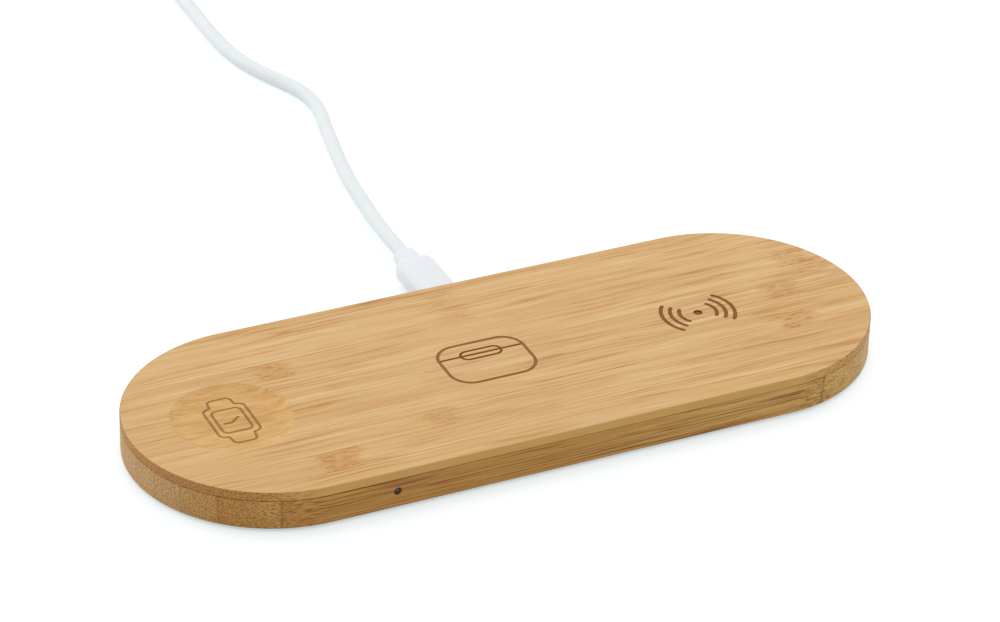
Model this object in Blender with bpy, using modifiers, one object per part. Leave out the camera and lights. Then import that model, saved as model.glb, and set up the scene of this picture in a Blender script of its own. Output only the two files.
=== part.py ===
"""A bamboo wireless charger for a phone, an earbud case and a watch, with its USB cable.

Metres, +Z up. The origin is the middle of the pad's footprint on the desk. +X runs along the pad
to the phone's place, and +Y runs to the rear edge, where the cable is plugged in.
"""

import math

import bmesh
import bpy
import numpy as np

# Clearance between two pieces that touch, how far a cut runs past the face that it opens, and the
# distance below which two points of a mesh are one
SEAT_GAP = 0.0003
CUT_OVERRUN = 0.001
WELD_DISTANCE = 0.000001

# The pad: a milled base and a thin top panel, glued along one seam
PAD_LENGTH = 0.226
PAD_WIDTH = 0.085
BASE_HEIGHT = 0.009
TOP_THICKNESS = 0.00255
EDGE_ROUND = 0.0006
WALL = 0.003
END_ARC_STEPS = 36

# Silicone feet, stuck in shallow bores under the base
FOOT_RADIUS = 0.0051
FOOT_STAND = 0.0008
FOOT_BORE_DEPTH = 0.0007
FOOT_CHAMFER = 0.0003
FOOT_END_INSET = 0.029
FOOT_SIDE_INSET = 0.0185
ROUND_STEPS = 24

# The three places along the pad, and the watch's dish
WATCH_END_INSET = 0.0302
EARBUD_X = -0.0054
PHONE_END_INSET = 0.0512
DISH_RADIUS = 0.0173
DISH_FLOOR_RADIUS = 0.0135
DISH_DEPTH = 0.00115
DISH_STEPS = 48
DISH_COVE_STEPS = 4

# Engraved signs: stroke widths, then the watch, the earbud case and the charging waves
FINE_STROKE = 0.00075
CASE_STROKE = 0.0009
WAVE_STROKE = 0.0011
STROKE_RISE = 0.00005
WATCH_CASE_WIDTH = 0.0122
WATCH_CASE_HEIGHT = 0.0151
WATCH_CASE_ROUND = 0.002
WATCH_SCREEN_MARGIN = 0.0018
WATCH_SCREEN_ROUND = 0.0016
WATCH_STRAP_WIDTH = 0.0074
WATCH_STRAP_REACH = 0.0037
WATCH_STRAP_TAPER = 0.0004
WATCH_STRAP_ROUND = 0.0013
WATCH_STRAP_ROOT_ROUND = 0.0004
WATCH_HAND_SHARES = ((-0.22, -0.07), (-0.03, -0.07), (0.2, 0.08))
EARBUD_CASE_WIDTH = 0.0261
EARBUD_CASE_HEIGHT = 0.0199
EARBUD_CASE_ROUND = 0.0064
EARBUD_LID_HEIGHT_SHARE = 0.21
EARBUD_CATCH_WIDTH = 0.0124
EARBUD_CATCH_HEIGHT = 0.0043
WAVE_DOT_RADIUS = 0.00125
WAVE_FIRST_RADIUS = 0.0055
WAVE_PITCH = 0.00265
WAVE_COUNT = 3
WAVE_HALF_ANGLE = math.radians(41)
SIGN_CORNER_STEPS = 4
WAVE_STEPS = 8

# Charging coils: litz wire wound flat, on ferrite, on foam tape
WIRE_DIAMETER = 0.001
WIRE_PITCH = 0.00175
FERRITE_THICKNESS = 0.0008
FERRITE_BORE_MARGIN = 0.0004
TAPE_THICKNESS = 0.0005
TAPE_MARGIN = 0.0015
POCKET_CLEARANCE = 0.0005
PHONE_INNER_RADIUS = 0.0104
PHONE_TURNS = 6.5
PHONE_FERRITE_RADIUS = 0.025
EARBUD_INNER_RADIUS = 0.008
EARBUD_TURNS = 5.5
EARBUD_FERRITE_RADIUS = 0.02
WATCH_INNER_RADIUS = 0.0056
WATCH_TURNS = 4.5
WATCH_FERRITE_RADIUS = 0.0155
LOOP_STEPS = 24
LEAD_DROP = 0.00145
LEAD_RAMP = 0.003
LEAD_RISE = 0.0034
LEAD_RISE_STEPS = 4
LEAD_SLOT_WIDTH = 0.002
LEAD_CHANNEL_WIDTH = 0.003
LEAD_PAD_INSET = 0.0045
MAGNET_RADIUS = 0.0042
POCKET_STEPS = 48

# USB-C socket in the rear edge
PORT_X = 0.0013
PORT_HEIGHT = 0.0045
PORT_SHELL_WIDTH = 0.00894
PORT_SHELL_HEIGHT = 0.00316
PORT_SHELL_LENGTH = 0.00735
PORT_BORE_WIDTH = 0.00855
PORT_BORE_HEIGHT = 0.0027
PORT_RECESS = 0.0003
PORT_TONGUE_WIDTH = 0.00669
PORT_TONGUE_THICKNESS = 0.0007
PORT_TONGUE_LENGTH = 0.0044
PORT_BLOCK_LENGTH = 0.0009
PORT_END_STEPS = 8

# Circuit board: a strip along the rear wall with an arm on each side of the earbud coil
BOARD_THICKNESS = 0.0012
BOARD_DROP = 0.0008
BOARD_TAPE_THICKNESS = 0.0003
BOARD_TAPE_MARGIN = 0.002
BOARD_CLEARANCE = 0.0005
BOARD_STRIP_DEPTH = 0.015
LEFT_ARM_WIDTH = 0.018
RIGHT_ARM_X = 0.02425
RIGHT_ARM_WIDTH = 0.0115
RIGHT_ARM_MARGIN = 0.0035

# Board components: width, depth and height, and their places along the strip
DRIVER_SIZE = (0.005, 0.005, 0.0009)
CAPACITOR_SIZE = (0.0032, 0.0045, 0.0018)
INDUCTOR_SIZE = (0.0066, 0.0066, 0.0028)
INPUT_CAPACITOR_SIZE = (0.0043, 0.0073, 0.0026)
COMPONENT_ROUND = 0.0003
PHONE_DRIVER_X = 0.0185
PHONE_CAPACITOR_X = 0.0255
INPUT_CAPACITOR_X = 0.0115
INDUCTOR_X = -0.0105
EARBUD_DRIVER_X = -0.0185
EARBUD_CAPACITOR_X = -0.0255
WATCH_DRIVER_X = -0.0385
WATCH_CAPACITOR_X = -0.046

# Status light in the front edge
LED_X = -0.0512
LED_SIZE = (0.0016, 0.0009, 0.0012)
LIGHT_HOLE_DIAMETER = 0.0024
LIGHT_PIPE_RECESS = 0.0005
LIGHT_PIPE_DOME = 0.0002

# USB-C plug
PLUG_STAND_OFF = 0.0005
PLUG_SHELL_WIDTH = 0.00825
PLUG_SHELL_HEIGHT = 0.0024
PLUG_SHELL_REACH = 0.00665
PLUG_BORE_WIDTH = 0.0073
PLUG_BORE_HEIGHT = 0.0013
PLUG_BORE_DEPTH = 0.0051
PLUG_SEAT_DEPTH = 0.002
PLUG_BODY_WIDTH = 0.0123
PLUG_BODY_HEIGHT = 0.0064
PLUG_BODY_LENGTH = 0.0246
PLUG_BODY_ROUND = 0.0022
END_ROUND_SHARE = 0.35
COLLAR_WIDTH = 0.008
COLLAR_HEIGHT = 0.0056
COLLAR_LENGTH = 0.0056
COLLAR_TAPER_SHARE = 0.87
COLLAR_ROUND = 0.0016

# Cable: the route's middle points, from the plug to the coil, are chosen by hand along the photo
CABLE_DIAMETER = 0.0045
DESK_GAP = 0.0001
CABLE_ROUTE = (
    (0.0015, 0.0819, 0.0051),
    (0.0020, 0.0895, 0.00445),
    (0.0031, 0.1006, 0.00345),
    (0.0045, 0.1121, 0.00275),
    (0.0056, 0.1227, 0.0024),
    (0.0066, 0.1302, 0.00235),
    (0.0078, 0.1373, 0.00235),
    (0.0092, 0.1449, 0.00235),
    (0.0109, 0.1533, 0.00235),
    (0.0125, 0.1612, 0.00235),
    (0.0143, 0.1689, 0.00235),
    (0.0154, 0.1765, 0.00235),
    (0.0151, 0.1835, 0.00235),
    (0.0136, 0.1895, 0.00235),
    (0.0112, 0.1955, 0.00235),
    (0.0083, 0.2020, 0.00235),
    (0.0056, 0.2095, 0.00235),
    (0.0036, 0.2180, 0.00235),
    (0.0026, 0.2280, 0.00235),
    (0.0024, 0.2400, 0.0024),
    (0.0025, 0.2540, 0.0026),
    (0.0025, 0.2690, 0.0030),
)
CABLE_STEP_DIAMETERS = 2.4

# The rest of the cable, wound in two layers and tied, with the USB-A plug behind it
COIL_X = 0.0341
COIL_Y = 0.2965
COIL_MEAN_RADIUS = 0.0249
COIL_TURNS = 5.25
COIL_PITCH = 0.0051
COIL_LAYER_RISE = 0.005
TIE_THICKNESS = 0.0008
TIE_WIDTH = 0.008
TIE_CORNER_STEPS = 3
TAIL_LENGTH = 0.021
TAIL_SHIFT = 0.004
TAIL_STEPS = 8
A_COLLAR_WIDTH = 0.0072
A_COLLAR_HEIGHT = 0.006
A_COLLAR_LENGTH = 0.009
A_BODY_WIDTH = 0.0157
A_BODY_HEIGHT = 0.008
A_BODY_LENGTH = 0.024
A_BODY_ROUND = 0.0012
A_SHELL_WIDTH = 0.012
A_SHELL_HEIGHT = 0.0045
A_SHELL_REACH = 0.01875
A_SHELL_WALL = 0.0004
A_SHELL_ROUND = 0.0006
A_SHELL_CORNER_STEPS = 2
A_SEAT_DEPTH = 0.003
A_TONGUE_THICKNESS = 0.0017
A_TONGUE_RECESS = 0.0005

# Heights that follow from the sizes above
WOOD_Z = FOOT_STAND
BASE_TOP_Z = WOOD_Z + BASE_HEIGHT
PANEL_Z = BASE_TOP_Z + SEAT_GAP
PAD_TOP_Z = PANEL_Z + TOP_THICKNESS
COIL_WIRE_Z = PANEL_Z - SEAT_GAP - WIRE_DIAMETER / 2
FERRITE_TOP_Z = COIL_WIRE_Z - WIRE_DIAMETER / 2 - SEAT_GAP
TAPE_TOP_Z = FERRITE_TOP_Z - FERRITE_THICKNESS - SEAT_GAP
SHELF_Z = TAPE_TOP_Z - TAPE_THICKNESS - SEAT_GAP
PORT_Z = WOOD_Z + PORT_HEIGHT
BOARD_TOP_Z = PORT_Z - BOARD_DROP + BOARD_THICKNESS / 2
BOARD_Z = BOARD_TOP_Z - BOARD_THICKNESS
BOARD_TAPE_Z = BOARD_Z - SEAT_GAP - BOARD_TAPE_THICKNESS
BOARD_FLOOR_Z = BOARD_TAPE_Z - SEAT_GAP
LED_Z = BOARD_TOP_Z + SEAT_GAP + LED_SIZE[2] / 2
LEAD_Z = COIL_WIRE_Z - LEAD_DROP
LEAD_PAD_Z = BOARD_TOP_Z + SEAT_GAP + WIRE_DIAMETER / 2
CHANNEL_FLOOR_Z = LEAD_Z - WIRE_DIAMETER / 2 - SEAT_GAP

# Places that follow from the sizes above
REAR_Y = PAD_WIDTH / 2
WATCH_X = WATCH_END_INSET - PAD_LENGTH / 2
PHONE_X = PAD_LENGTH / 2 - PHONE_END_INSET
BOARD_REAR_Y = REAR_Y - WALL - BOARD_CLEARANCE
STRIP_FRONT_Y = BOARD_REAR_Y - BOARD_STRIP_DEPTH
STRIP_Y = BOARD_REAR_Y - BOARD_STRIP_DEPTH / 2
LEFT_ARM_LEFT_X = LED_X - LEFT_ARM_WIDTH / 2
LEFT_ARM_RIGHT_X = LED_X + LEFT_ARM_WIDTH / 2
RIGHT_ARM_LEFT_X = RIGHT_ARM_X - RIGHT_ARM_WIDTH / 2
RIGHT_ARM_RIGHT_X = RIGHT_ARM_X + RIGHT_ARM_WIDTH / 2
RIGHT_ARM_FRONT_Y = -(PHONE_INNER_RADIUS + RIGHT_ARM_MARGIN)
POCKET_FRONT_Y = WALL - REAR_Y
LED_Y = POCKET_FRONT_Y + LED_SIZE[1] / 2
BOARD_FRONT_Y = POCKET_FRONT_Y + BOARD_CLEARANCE
PORT_FACE_Y = REAR_Y - PORT_RECESS
PORT_BACK_Y = PORT_FACE_Y - PORT_SHELL_LENGTH
PLUG_FACE_Y = REAR_Y + PLUG_STAND_OFF
PLUG_TIP_Y = PLUG_FACE_Y - PLUG_SHELL_REACH
PLUG_END_Y = PLUG_FACE_Y + PLUG_BODY_LENGTH
COLLAR_Y = PLUG_END_Y + SEAT_GAP
CABLE_EXIT_Y = COLLAR_Y + COLLAR_LENGTH + SEAT_GAP
COIL_OUTER_RADIUS = COIL_MEAN_RADIUS + COIL_PITCH * COIL_TURNS / 4
COIL_INNER_RADIUS = COIL_MEAN_RADIUS - COIL_PITCH * COIL_TURNS / 4
COIL_LOW_Z = DESK_GAP + TIE_THICKNESS + SEAT_GAP + CABLE_DIAMETER / 2
COIL_HIGH_Z = COIL_LOW_Z + COIL_LAYER_RISE
COIL_START_X = COIL_X - COIL_OUTER_RADIUS
TAIL_START_X = COIL_X + CABLE_DIAMETER + SEAT_GAP
TAIL_Y = COIL_Y + COIL_OUTER_RADIUS
TAIL_END_X = TAIL_START_X + TAIL_LENGTH
A_PLUG_Y = TAIL_Y - TAIL_SHIFT
A_PLUG_Z = DESK_GAP + A_BODY_HEIGHT / 2
A_COLLAR_X = TAIL_END_X + SEAT_GAP
A_BODY_X = A_COLLAR_X + A_COLLAR_LENGTH + SEAT_GAP
A_FACE_X = A_BODY_X + A_BODY_LENGTH


def new_collection(name):
    collection = bpy.data.collections.new(name)
    bpy.context.scene.collection.children.link(collection)
    return collection


def new_object(name, data, collection):
    made = bpy.data.objects.new(name, data)
    collection.objects.link(made)
    return made


def material(name, colour, roughness, metallic=0.0):
    made = bpy.data.materials.new(name)
    made.use_nodes = True
    shader = made.node_tree.nodes["Principled BSDF"]
    shader.inputs["Base Color"].default_value = (*colour, 1.0)
    shader.inputs["Roughness"].default_value = roughness
    shader.inputs["Metallic"].default_value = metallic
    made.diffuse_color = (*colour, 1.0)
    return made


def give(made, finish, parent=None):
    """Gives an object its material and its parent, and keeps its place in the world."""
    made.data.materials.clear()
    made.data.materials.append(finish)
    if parent:
        bpy.context.view_layer.update()
        made.parent = parent
        made.matrix_parent_inverse = parent.matrix_world.inverted()
    return made


def shade(mesh, angle=math.radians(35)):
    mesh.shade_smooth()
    mesh.set_sharp_from_angle(angle=angle)


# Outlines, as lists of points in the plane


def arc(centre, radius, start, end, steps):
    """Points of an arc from the angle start to the angle end, both ends included."""
    angles = [start + (end - start) * i / steps for i in range(steps + 1)]
    return [(centre[0] + radius * math.cos(a), centre[1] + radius * math.sin(a)) for a in angles]


def circle(radius, steps, centre=(0, 0)):
    return arc(centre, radius, 0, 2 * math.pi, steps)[:-1]


def stadium(length, width, steps):
    """A long hole's outline: two half circles joined by straight sides along X."""
    reach = (length - width) / 2
    right = arc((reach, 0), width / 2, -math.pi / 2, math.pi / 2, steps)
    left = arc((-reach, 0), width / 2, math.pi / 2, 3 * math.pi / 2, steps)
    return right + left


def rectangle(left, right, front, rear):
    return [(left, front), (right, front), (right, rear), (left, rear)]


def filleted(corners, steps):
    """A closed outline whose corners, each (x, y, radius), are rounded by arcs."""
    points = []
    for i, (x, y, radius) in enumerate(corners):
        here = np.array((x, y))
        back = np.array(corners[i - 1][:2]) - here
        ahead = np.array(corners[(i + 1) % len(corners)][:2]) - here
        back /= np.linalg.norm(back)
        ahead /= np.linalg.norm(ahead)
        half = math.acos(float(np.dot(back, ahead))) / 2
        middle = (back + ahead) / np.linalg.norm(back + ahead)
        centre = here + middle * radius / math.sin(half)
        first = here + back * radius / math.tan(half) - centre
        last = here + ahead * radius / math.tan(half) - centre
        start = math.atan2(first[1], first[0])
        turn = math.remainder(math.atan2(last[1], last[0]) - start, 2 * math.pi)
        points += arc(centre, radius, start, start + turn, steps)
    return points


def rounded_rectangle(width, height, radius, steps):
    outline = rectangle(-width / 2, width / 2, -height / 2, height / 2)
    return filleted([(x, y, radius) for x, y in outline], steps)


# Solids


def mesh_of_curve(curve_object, collection):
    """Turns a curve object into a closed mesh object of the same name and place."""
    bpy.context.view_layer.update()
    graph = bpy.context.evaluated_depsgraph_get()
    mesh = bpy.data.meshes.new_from_object(curve_object.evaluated_get(graph))
    shape = bmesh.new()
    shape.from_mesh(mesh)
    bmesh.ops.remove_doubles(shape, verts=shape.verts, dist=WELD_DISTANCE)
    shape.to_mesh(mesh)
    shape.free()
    name, place = curve_object.name, curve_object.matrix_world.copy()
    bpy.data.objects.remove(curve_object)
    made = new_object(name, mesh, collection)
    made.matrix_world = place
    return made


def plate(name, outlines, low, high, collection, at=(0, 0)):
    """A flat solid between two heights. An outline that lies inside another one is a hole."""
    curve = bpy.data.curves.new(name, "CURVE")
    curve.dimensions = "2D"
    curve.fill_mode = "BOTH"
    curve.extrude = (high - low) / 2
    for outline in outlines:
        spline = curve.splines.new("POLY")
        spline.points.add(len(outline) - 1)
        spline.use_cyclic_u = True
        for point, (x, y) in zip(spline.points, outline):
            point.co = (x, y, 0, 1)
    made = new_object(name, curve, collection)
    made.location = (*at, (low + high) / 2)
    made = mesh_of_curve(made, collection)
    shade(made.data)
    return made


def round_rim(made, upper, radius, segments=2):
    """Rounds a plate's upper or lower rim with a Bevel on that rim's edges alone."""
    shape = bmesh.new()
    shape.from_mesh(made.data)
    bmesh.ops.dissolve_limit(
        shape, angle_limit=math.radians(1), verts=shape.verts, edges=shape.edges, delimit={"NORMAL"}
    )
    weight = shape.edges.layers.float.new("bevel_weight_edge")
    for edge in shape.edges:
        heights = [vert.co.z for vert in edge.verts]
        side = min(heights) > 0 if upper else max(heights) < 0
        if side and any(abs(face.normal.z) < 0.5 for face in edge.link_faces):
            edge[weight] = 1
    shape.to_mesh(made.data)
    shape.free()
    bevel = made.modifiers.new("rim", "BEVEL")
    bevel.width = radius
    bevel.segments = segments
    bevel.limit_method = "WEIGHT"
    return made


def block(name, size, collection, rounding=0, end_share=1.0, taper_share=1.0, at=(0, 0, 0), turn=0):
    """A box of width, length and height, with rounded edges. Its +Y end may taper.

    The edges along Y take the whole rounding, and those round its ends take end_share of it.
    """
    shape = bmesh.new()
    bmesh.ops.create_cube(shape, size=1)
    bmesh.ops.scale(shape, vec=size, verts=shape.verts)
    for vert in shape.verts:
        if vert.co.y > 0:
            vert.co.x *= taper_share
            vert.co.z *= taper_share
    weight = shape.edges.layers.float.new("bevel_weight_edge")
    for edge in shape.edges:
        along = edge.verts[0].co.y * edge.verts[1].co.y < 0
        edge[weight] = 1 if along else end_share
    mesh = bpy.data.meshes.new(name)
    shape.to_mesh(mesh)
    shape.free()
    made = new_object(name, mesh, collection)
    if rounding:
        bevel = made.modifiers.new("edges", "BEVEL")
        bevel.width = rounding
        bevel.segments = 2
        bevel.limit_method = "WEIGHT"
        shade(mesh, math.radians(50))
    made.location = at
    made.rotation_euler = (0, 0, turn)
    return made


def turned(name, profile, collection, steps, at=(0, 0, 0), tilt=0):
    """A solid turned from a profile of (radius, height) points, given from its top to its bottom."""
    mesh = bpy.data.meshes.new(name)
    points = [(radius, 0, height) for radius, height in profile]
    mesh.from_pydata(points, [(i, i + 1) for i in range(len(points) - 1)], [])
    made = new_object(name, mesh, collection)
    screw = made.modifiers.new("turn", "SCREW")
    screw.steps = steps
    screw.render_steps = steps
    screw.use_merge_vertices = True
    screw.merge_threshold = WELD_DISTANCE
    screw.use_smooth_shade = False
    made.location = at
    made.rotation_euler = (tilt, 0, 0)
    return made


def tube(name, points, diameter, collection, resolution):
    """A round cord along a line of points, with closed ends."""
    curve = bpy.data.curves.new(name, "CURVE")
    curve.dimensions = "3D"
    curve.bevel_depth = diameter / 2
    curve.bevel_resolution = resolution
    curve.use_fill_caps = True
    spline = curve.splines.new("POLY")
    spline.points.add(len(points) - 1)
    for point, place in zip(spline.points, points):
        point.co = (*place, 1)
    return new_object(name, curve, collection)


def cut(made, cutter, operation="DIFFERENCE"):
    """Takes a cutter's shape out of a piece, or joins the two with the operation UNION."""
    boolean = made.modifiers.new("cut " + cutter.name, "BOOLEAN")
    boolean.operation = operation
    boolean.solver = "EXACT"
    boolean.object = cutter
    cutter.hide_render = True
    cutter.display_type = "WIRE"


def side_plate(name, outlines, front, rear, collection, x, z):
    """A plate in the XZ plane at x and z, between two places along Y."""
    made = plate(name, outlines, -(rear - front) / 2, (rear - front) / 2, collection)
    made.location = (x, (front + rear) / 2, z)
    made.rotation_euler = (math.pi / 2, 0, 0)
    return made


# Lines of points for wound and free cords


def resampled(points, step):
    """Points along a broken line at an even spacing near step, both ends included."""
    points = np.asarray(points, float)
    lengths = np.linalg.norm(np.diff(points, axis=0), axis=1)
    travelled = np.concatenate([[0], np.cumsum(lengths)])
    count = max(2, round(travelled[-1] / step) + 1)
    places = np.linspace(0, travelled[-1], count)
    return np.stack([np.interp(places, travelled, points[:, i]) for i in range(3)], axis=1)


def smooth_line(points, samples=12):
    """A Catmull-Rom curve through the points, as a finely broken line."""
    points = np.asarray(points, float)
    ends = [2 * points[0] - points[1], *points, 2 * points[-1] - points[-2]]
    line = []
    for before, first, last, after in zip(ends, ends[1:], ends[2:], ends[3:]):
        for i in range(samples):
            t = i / samples
            line.append(
                0.5
                * (
                    2 * first
                    + (last - before) * t
                    + (2 * before - 5 * first + 4 * last - after) * t**2
                    + (3 * first - before - 3 * last + after) * t**3
                )
            )
    return np.array([*line, points[-1]])


def line_length(points):
    return float(np.linalg.norm(np.diff(np.asarray(points, float), axis=0), axis=1).sum())


def least_gap(points, diameter):
    """The least clear gap between stretches of a cord that lie over three diameters apart along it."""
    fine = resampled(points, diameter / 2)
    along = np.arange(len(fine)) * diameter / 2
    apart = np.linalg.norm(fine[:, None] - fine[None, :], axis=2)
    apart[np.abs(along[:, None] - along[None, :]) < 3 * diameter] = np.inf
    return float(apart.min()) - diameter


def report_cord(name, points, diameter):
    gap = least_gap(points, diameter) * 1000
    print(f"{name}: {line_length(points) * 1000:.0f} mm long, least gap to itself {gap:.2f} mm")


def ease(share):
    """Runs from 0 to 1 with a level start and end."""
    share = min(max(share, 0), 1)
    return (1 - math.cos(math.pi * share)) / 2


# The three coil places


class Place:
    """A charging place: where its coil sits, how it is wound and which arm its leads run to.

    side is -1 where the leads leave towards -X and +1 where they leave towards +X.
    """

    def __init__(self, name, x, inner_radius, turns, ferrite_radius, side, arm_edge_x):
        self.name = name
        self.x = x
        self.inner_radius = inner_radius
        self.outer_radius = inner_radius + turns * WIRE_PITCH
        self.turns = turns
        self.ferrite_radius = ferrite_radius
        self.side = side
        self.arm_edge_x = arm_edge_x
        self.pad_reach = abs(x - arm_edge_x) + LEAD_PAD_INSET

    def lead_rows(self):
        """The inner and the outer lead's distance along Y."""
        return self.side * self.inner_radius, -self.side * self.outer_radius


PHONE_WINDING = (PHONE_INNER_RADIUS, PHONE_TURNS, PHONE_FERRITE_RADIUS)
EARBUD_WINDING = (EARBUD_INNER_RADIUS, EARBUD_TURNS, EARBUD_FERRITE_RADIUS)
WATCH_WINDING = (WATCH_INNER_RADIUS, WATCH_TURNS, WATCH_FERRITE_RADIUS)
PLACES = (
    Place("phone", PHONE_X, *PHONE_WINDING, -1, RIGHT_ARM_RIGHT_X),
    Place("earbud", EARBUD_X, *EARBUD_WINDING, -1, LEFT_ARM_RIGHT_X),
    Place("watch", WATCH_X, *WATCH_WINDING, 1, LEFT_ARM_LEFT_X),
)


def winding_line(place):
    """A flat coil's centre line, from its inner lead to its outer one.

    It is laid out with both leads towards -X, and the inner lead passes under the turns.
    """
    inner, outer, reach = place.inner_radius, place.outer_radius, place.pad_reach
    line = [(-reach, -inner, LEAD_PAD_Z), (WIRE_DIAMETER - reach, -inner, LEAD_PAD_Z)]
    line.append((WIRE_DIAMETER + LEAD_RAMP - reach, -inner, LEAD_Z))
    for i in range(LEAD_RISE_STEPS + 1):
        share = i / LEAD_RISE_STEPS
        height = LEAD_Z + LEAD_DROP * ease(share)
        line.append((-LEAD_RISE * (1 - share) - SEAT_GAP, -inner, height))
    count = round(place.turns * LOOP_STEPS)
    for i in range(count + 1):
        angle = 2 * math.pi * i / LOOP_STEPS - math.pi / 2
        radius = inner + WIRE_PITCH * i / LOOP_STEPS
        line.append((radius * math.cos(angle), radius * math.sin(angle), COIL_WIRE_Z))
    line.append((WIRE_DIAMETER + LEAD_RAMP - reach, outer, COIL_WIRE_Z))
    line.append((WIRE_DIAMETER - reach, outer, LEAD_PAD_Z))
    line.append((-reach, outer, LEAD_PAD_Z))
    return line


def build_coil(place, copper, charger, root):
    name = place.name + "_coil"
    line = winding_line(place)
    report_cord(name, line, WIRE_DIAMETER)
    facing = -place.side
    line = [(place.x + facing * x, facing * y, z) for x, y, z in line]
    give(tube(name, line, WIRE_DIAMETER, charger, 1), copper, root)


def lead_slot(place, cutters):
    """The slot through ferrite and tape for the lead that passes under the turns."""
    row = place.lead_rows()[0]
    reach = place.side * (place.ferrite_radius + CUT_OVERRUN)
    left, right = sorted((-place.side * LEAD_SLOT_WIDTH / 2, reach))
    outline = rectangle(left, right, row - LEAD_SLOT_WIDTH / 2, row + LEAD_SLOT_WIDTH / 2)
    low, high = SHELF_Z, FERRITE_TOP_Z + CUT_OVERRUN
    return plate(place.name + "_lead_slot", [outline], low, high, cutters, (place.x, 0))


def build_shield(place, ferrite, tape, charger, cutters, root):
    """The ferrite disc under a coil, and the foam tape that holds it to the pocket's floor."""
    slot = lead_slot(place, cutters)
    bore = circle(place.inner_radius - FERRITE_BORE_MARGIN, ROUND_STEPS)
    rim = circle(place.ferrite_radius, POCKET_STEPS)
    low = FERRITE_TOP_Z - FERRITE_THICKNESS
    disc = plate(place.name + "_ferrite", [rim, bore], low, FERRITE_TOP_Z, charger, (place.x, 0))
    cut(disc, slot)
    give(disc, ferrite, root)
    rim = circle(place.ferrite_radius - TAPE_MARGIN, POCKET_STEPS)
    low = TAPE_TOP_Z - TAPE_THICKNESS
    name = place.name + "_coil_tape"
    pad = plate(name, [rim, bore], low, TAPE_TOP_Z, charger, (place.x, 0))
    cut(pad, slot)
    give(pad, tape, root)


def build_magnet(steel, charger, root):
    low = SHELF_Z + SEAT_GAP
    high = COIL_WIRE_Z + WIRE_DIAMETER / 2
    profile = [
        (0, high),
        (MAGNET_RADIUS - COMPONENT_ROUND, high),
        (MAGNET_RADIUS, high - COMPONENT_ROUND),
        (MAGNET_RADIUS, low),
        (0, low),
    ]
    give(turned("watch_magnet", profile, charger, ROUND_STEPS, (WATCH_X, 0, 0)), steel, root)


# Circuit board


def board_outline(margin=0):
    """The board's outline, grown by a margin on every side."""
    left, inner_left = LEFT_ARM_LEFT_X - margin, LEFT_ARM_RIGHT_X + margin
    inner_right, right = RIGHT_ARM_LEFT_X - margin, RIGHT_ARM_RIGHT_X + margin
    strip_front, rear = STRIP_FRONT_Y - margin, BOARD_REAR_Y + margin
    left_front, right_front = BOARD_FRONT_Y - margin, RIGHT_ARM_FRONT_Y - margin
    return [
        (left, left_front),
        (inner_left, left_front),
        (inner_left, strip_front),
        (inner_right, strip_front),
        (inner_right, right_front),
        (right, right_front),
        (right, rear),
        (left, rear),
    ]


def build_board(lacquer, foam, charger, cutters, root):
    board = plate("main_board", [board_outline()], BOARD_Z, BOARD_TOP_Z, charger)
    half = PORT_SHELL_WIDTH / 2 + SEAT_GAP
    notch = rectangle(
        PORT_X - half, PORT_X + half, PORT_BACK_Y - SEAT_GAP, BOARD_REAR_Y + CUT_OVERRUN
    )
    low, high = BOARD_Z - CUT_OVERRUN, BOARD_TOP_Z + CUT_OVERRUN
    cut(board, plate("port_notch", [notch], low, high, cutters))
    give(board, lacquer, root)
    strip = rectangle(
        LEFT_ARM_LEFT_X + BOARD_TAPE_MARGIN,
        RIGHT_ARM_RIGHT_X - BOARD_TAPE_MARGIN,
        STRIP_FRONT_Y + BOARD_TAPE_MARGIN,
        PORT_BACK_Y - SEAT_GAP - BOARD_TAPE_MARGIN,
    )
    high = BOARD_TAPE_Z + BOARD_TAPE_THICKNESS
    give(plate("board_tape", [strip], BOARD_TAPE_Z, high, charger), foam, root)


def build_components(finishes, charger, root):
    """The pieces on the board's upper face, each (name, size, x, finish)."""
    chip, ceramic, ferrite = finishes
    pieces = (
        ("phone_driver_chip", DRIVER_SIZE, PHONE_DRIVER_X, chip),
        ("earbud_driver_chip", DRIVER_SIZE, EARBUD_DRIVER_X, chip),
        ("watch_driver_chip", DRIVER_SIZE, WATCH_DRIVER_X, chip),
        ("phone_capacitor", CAPACITOR_SIZE, PHONE_CAPACITOR_X, ceramic),
        ("earbud_capacitor", CAPACITOR_SIZE, EARBUD_CAPACITOR_X, ceramic),
        ("watch_capacitor", CAPACITOR_SIZE, WATCH_CAPACITOR_X, ceramic),
        ("power_inductor", INDUCTOR_SIZE, INDUCTOR_X, ferrite),
        ("input_capacitor", INPUT_CAPACITOR_SIZE, INPUT_CAPACITOR_X, ceramic),
    )
    for name, size, x, finish in pieces:
        at = (x, STRIP_Y, BOARD_TOP_Z + SEAT_GAP + size[2] / 2)
        give(block(name, size, charger, COMPONENT_ROUND, at=at), finish, root)


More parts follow.
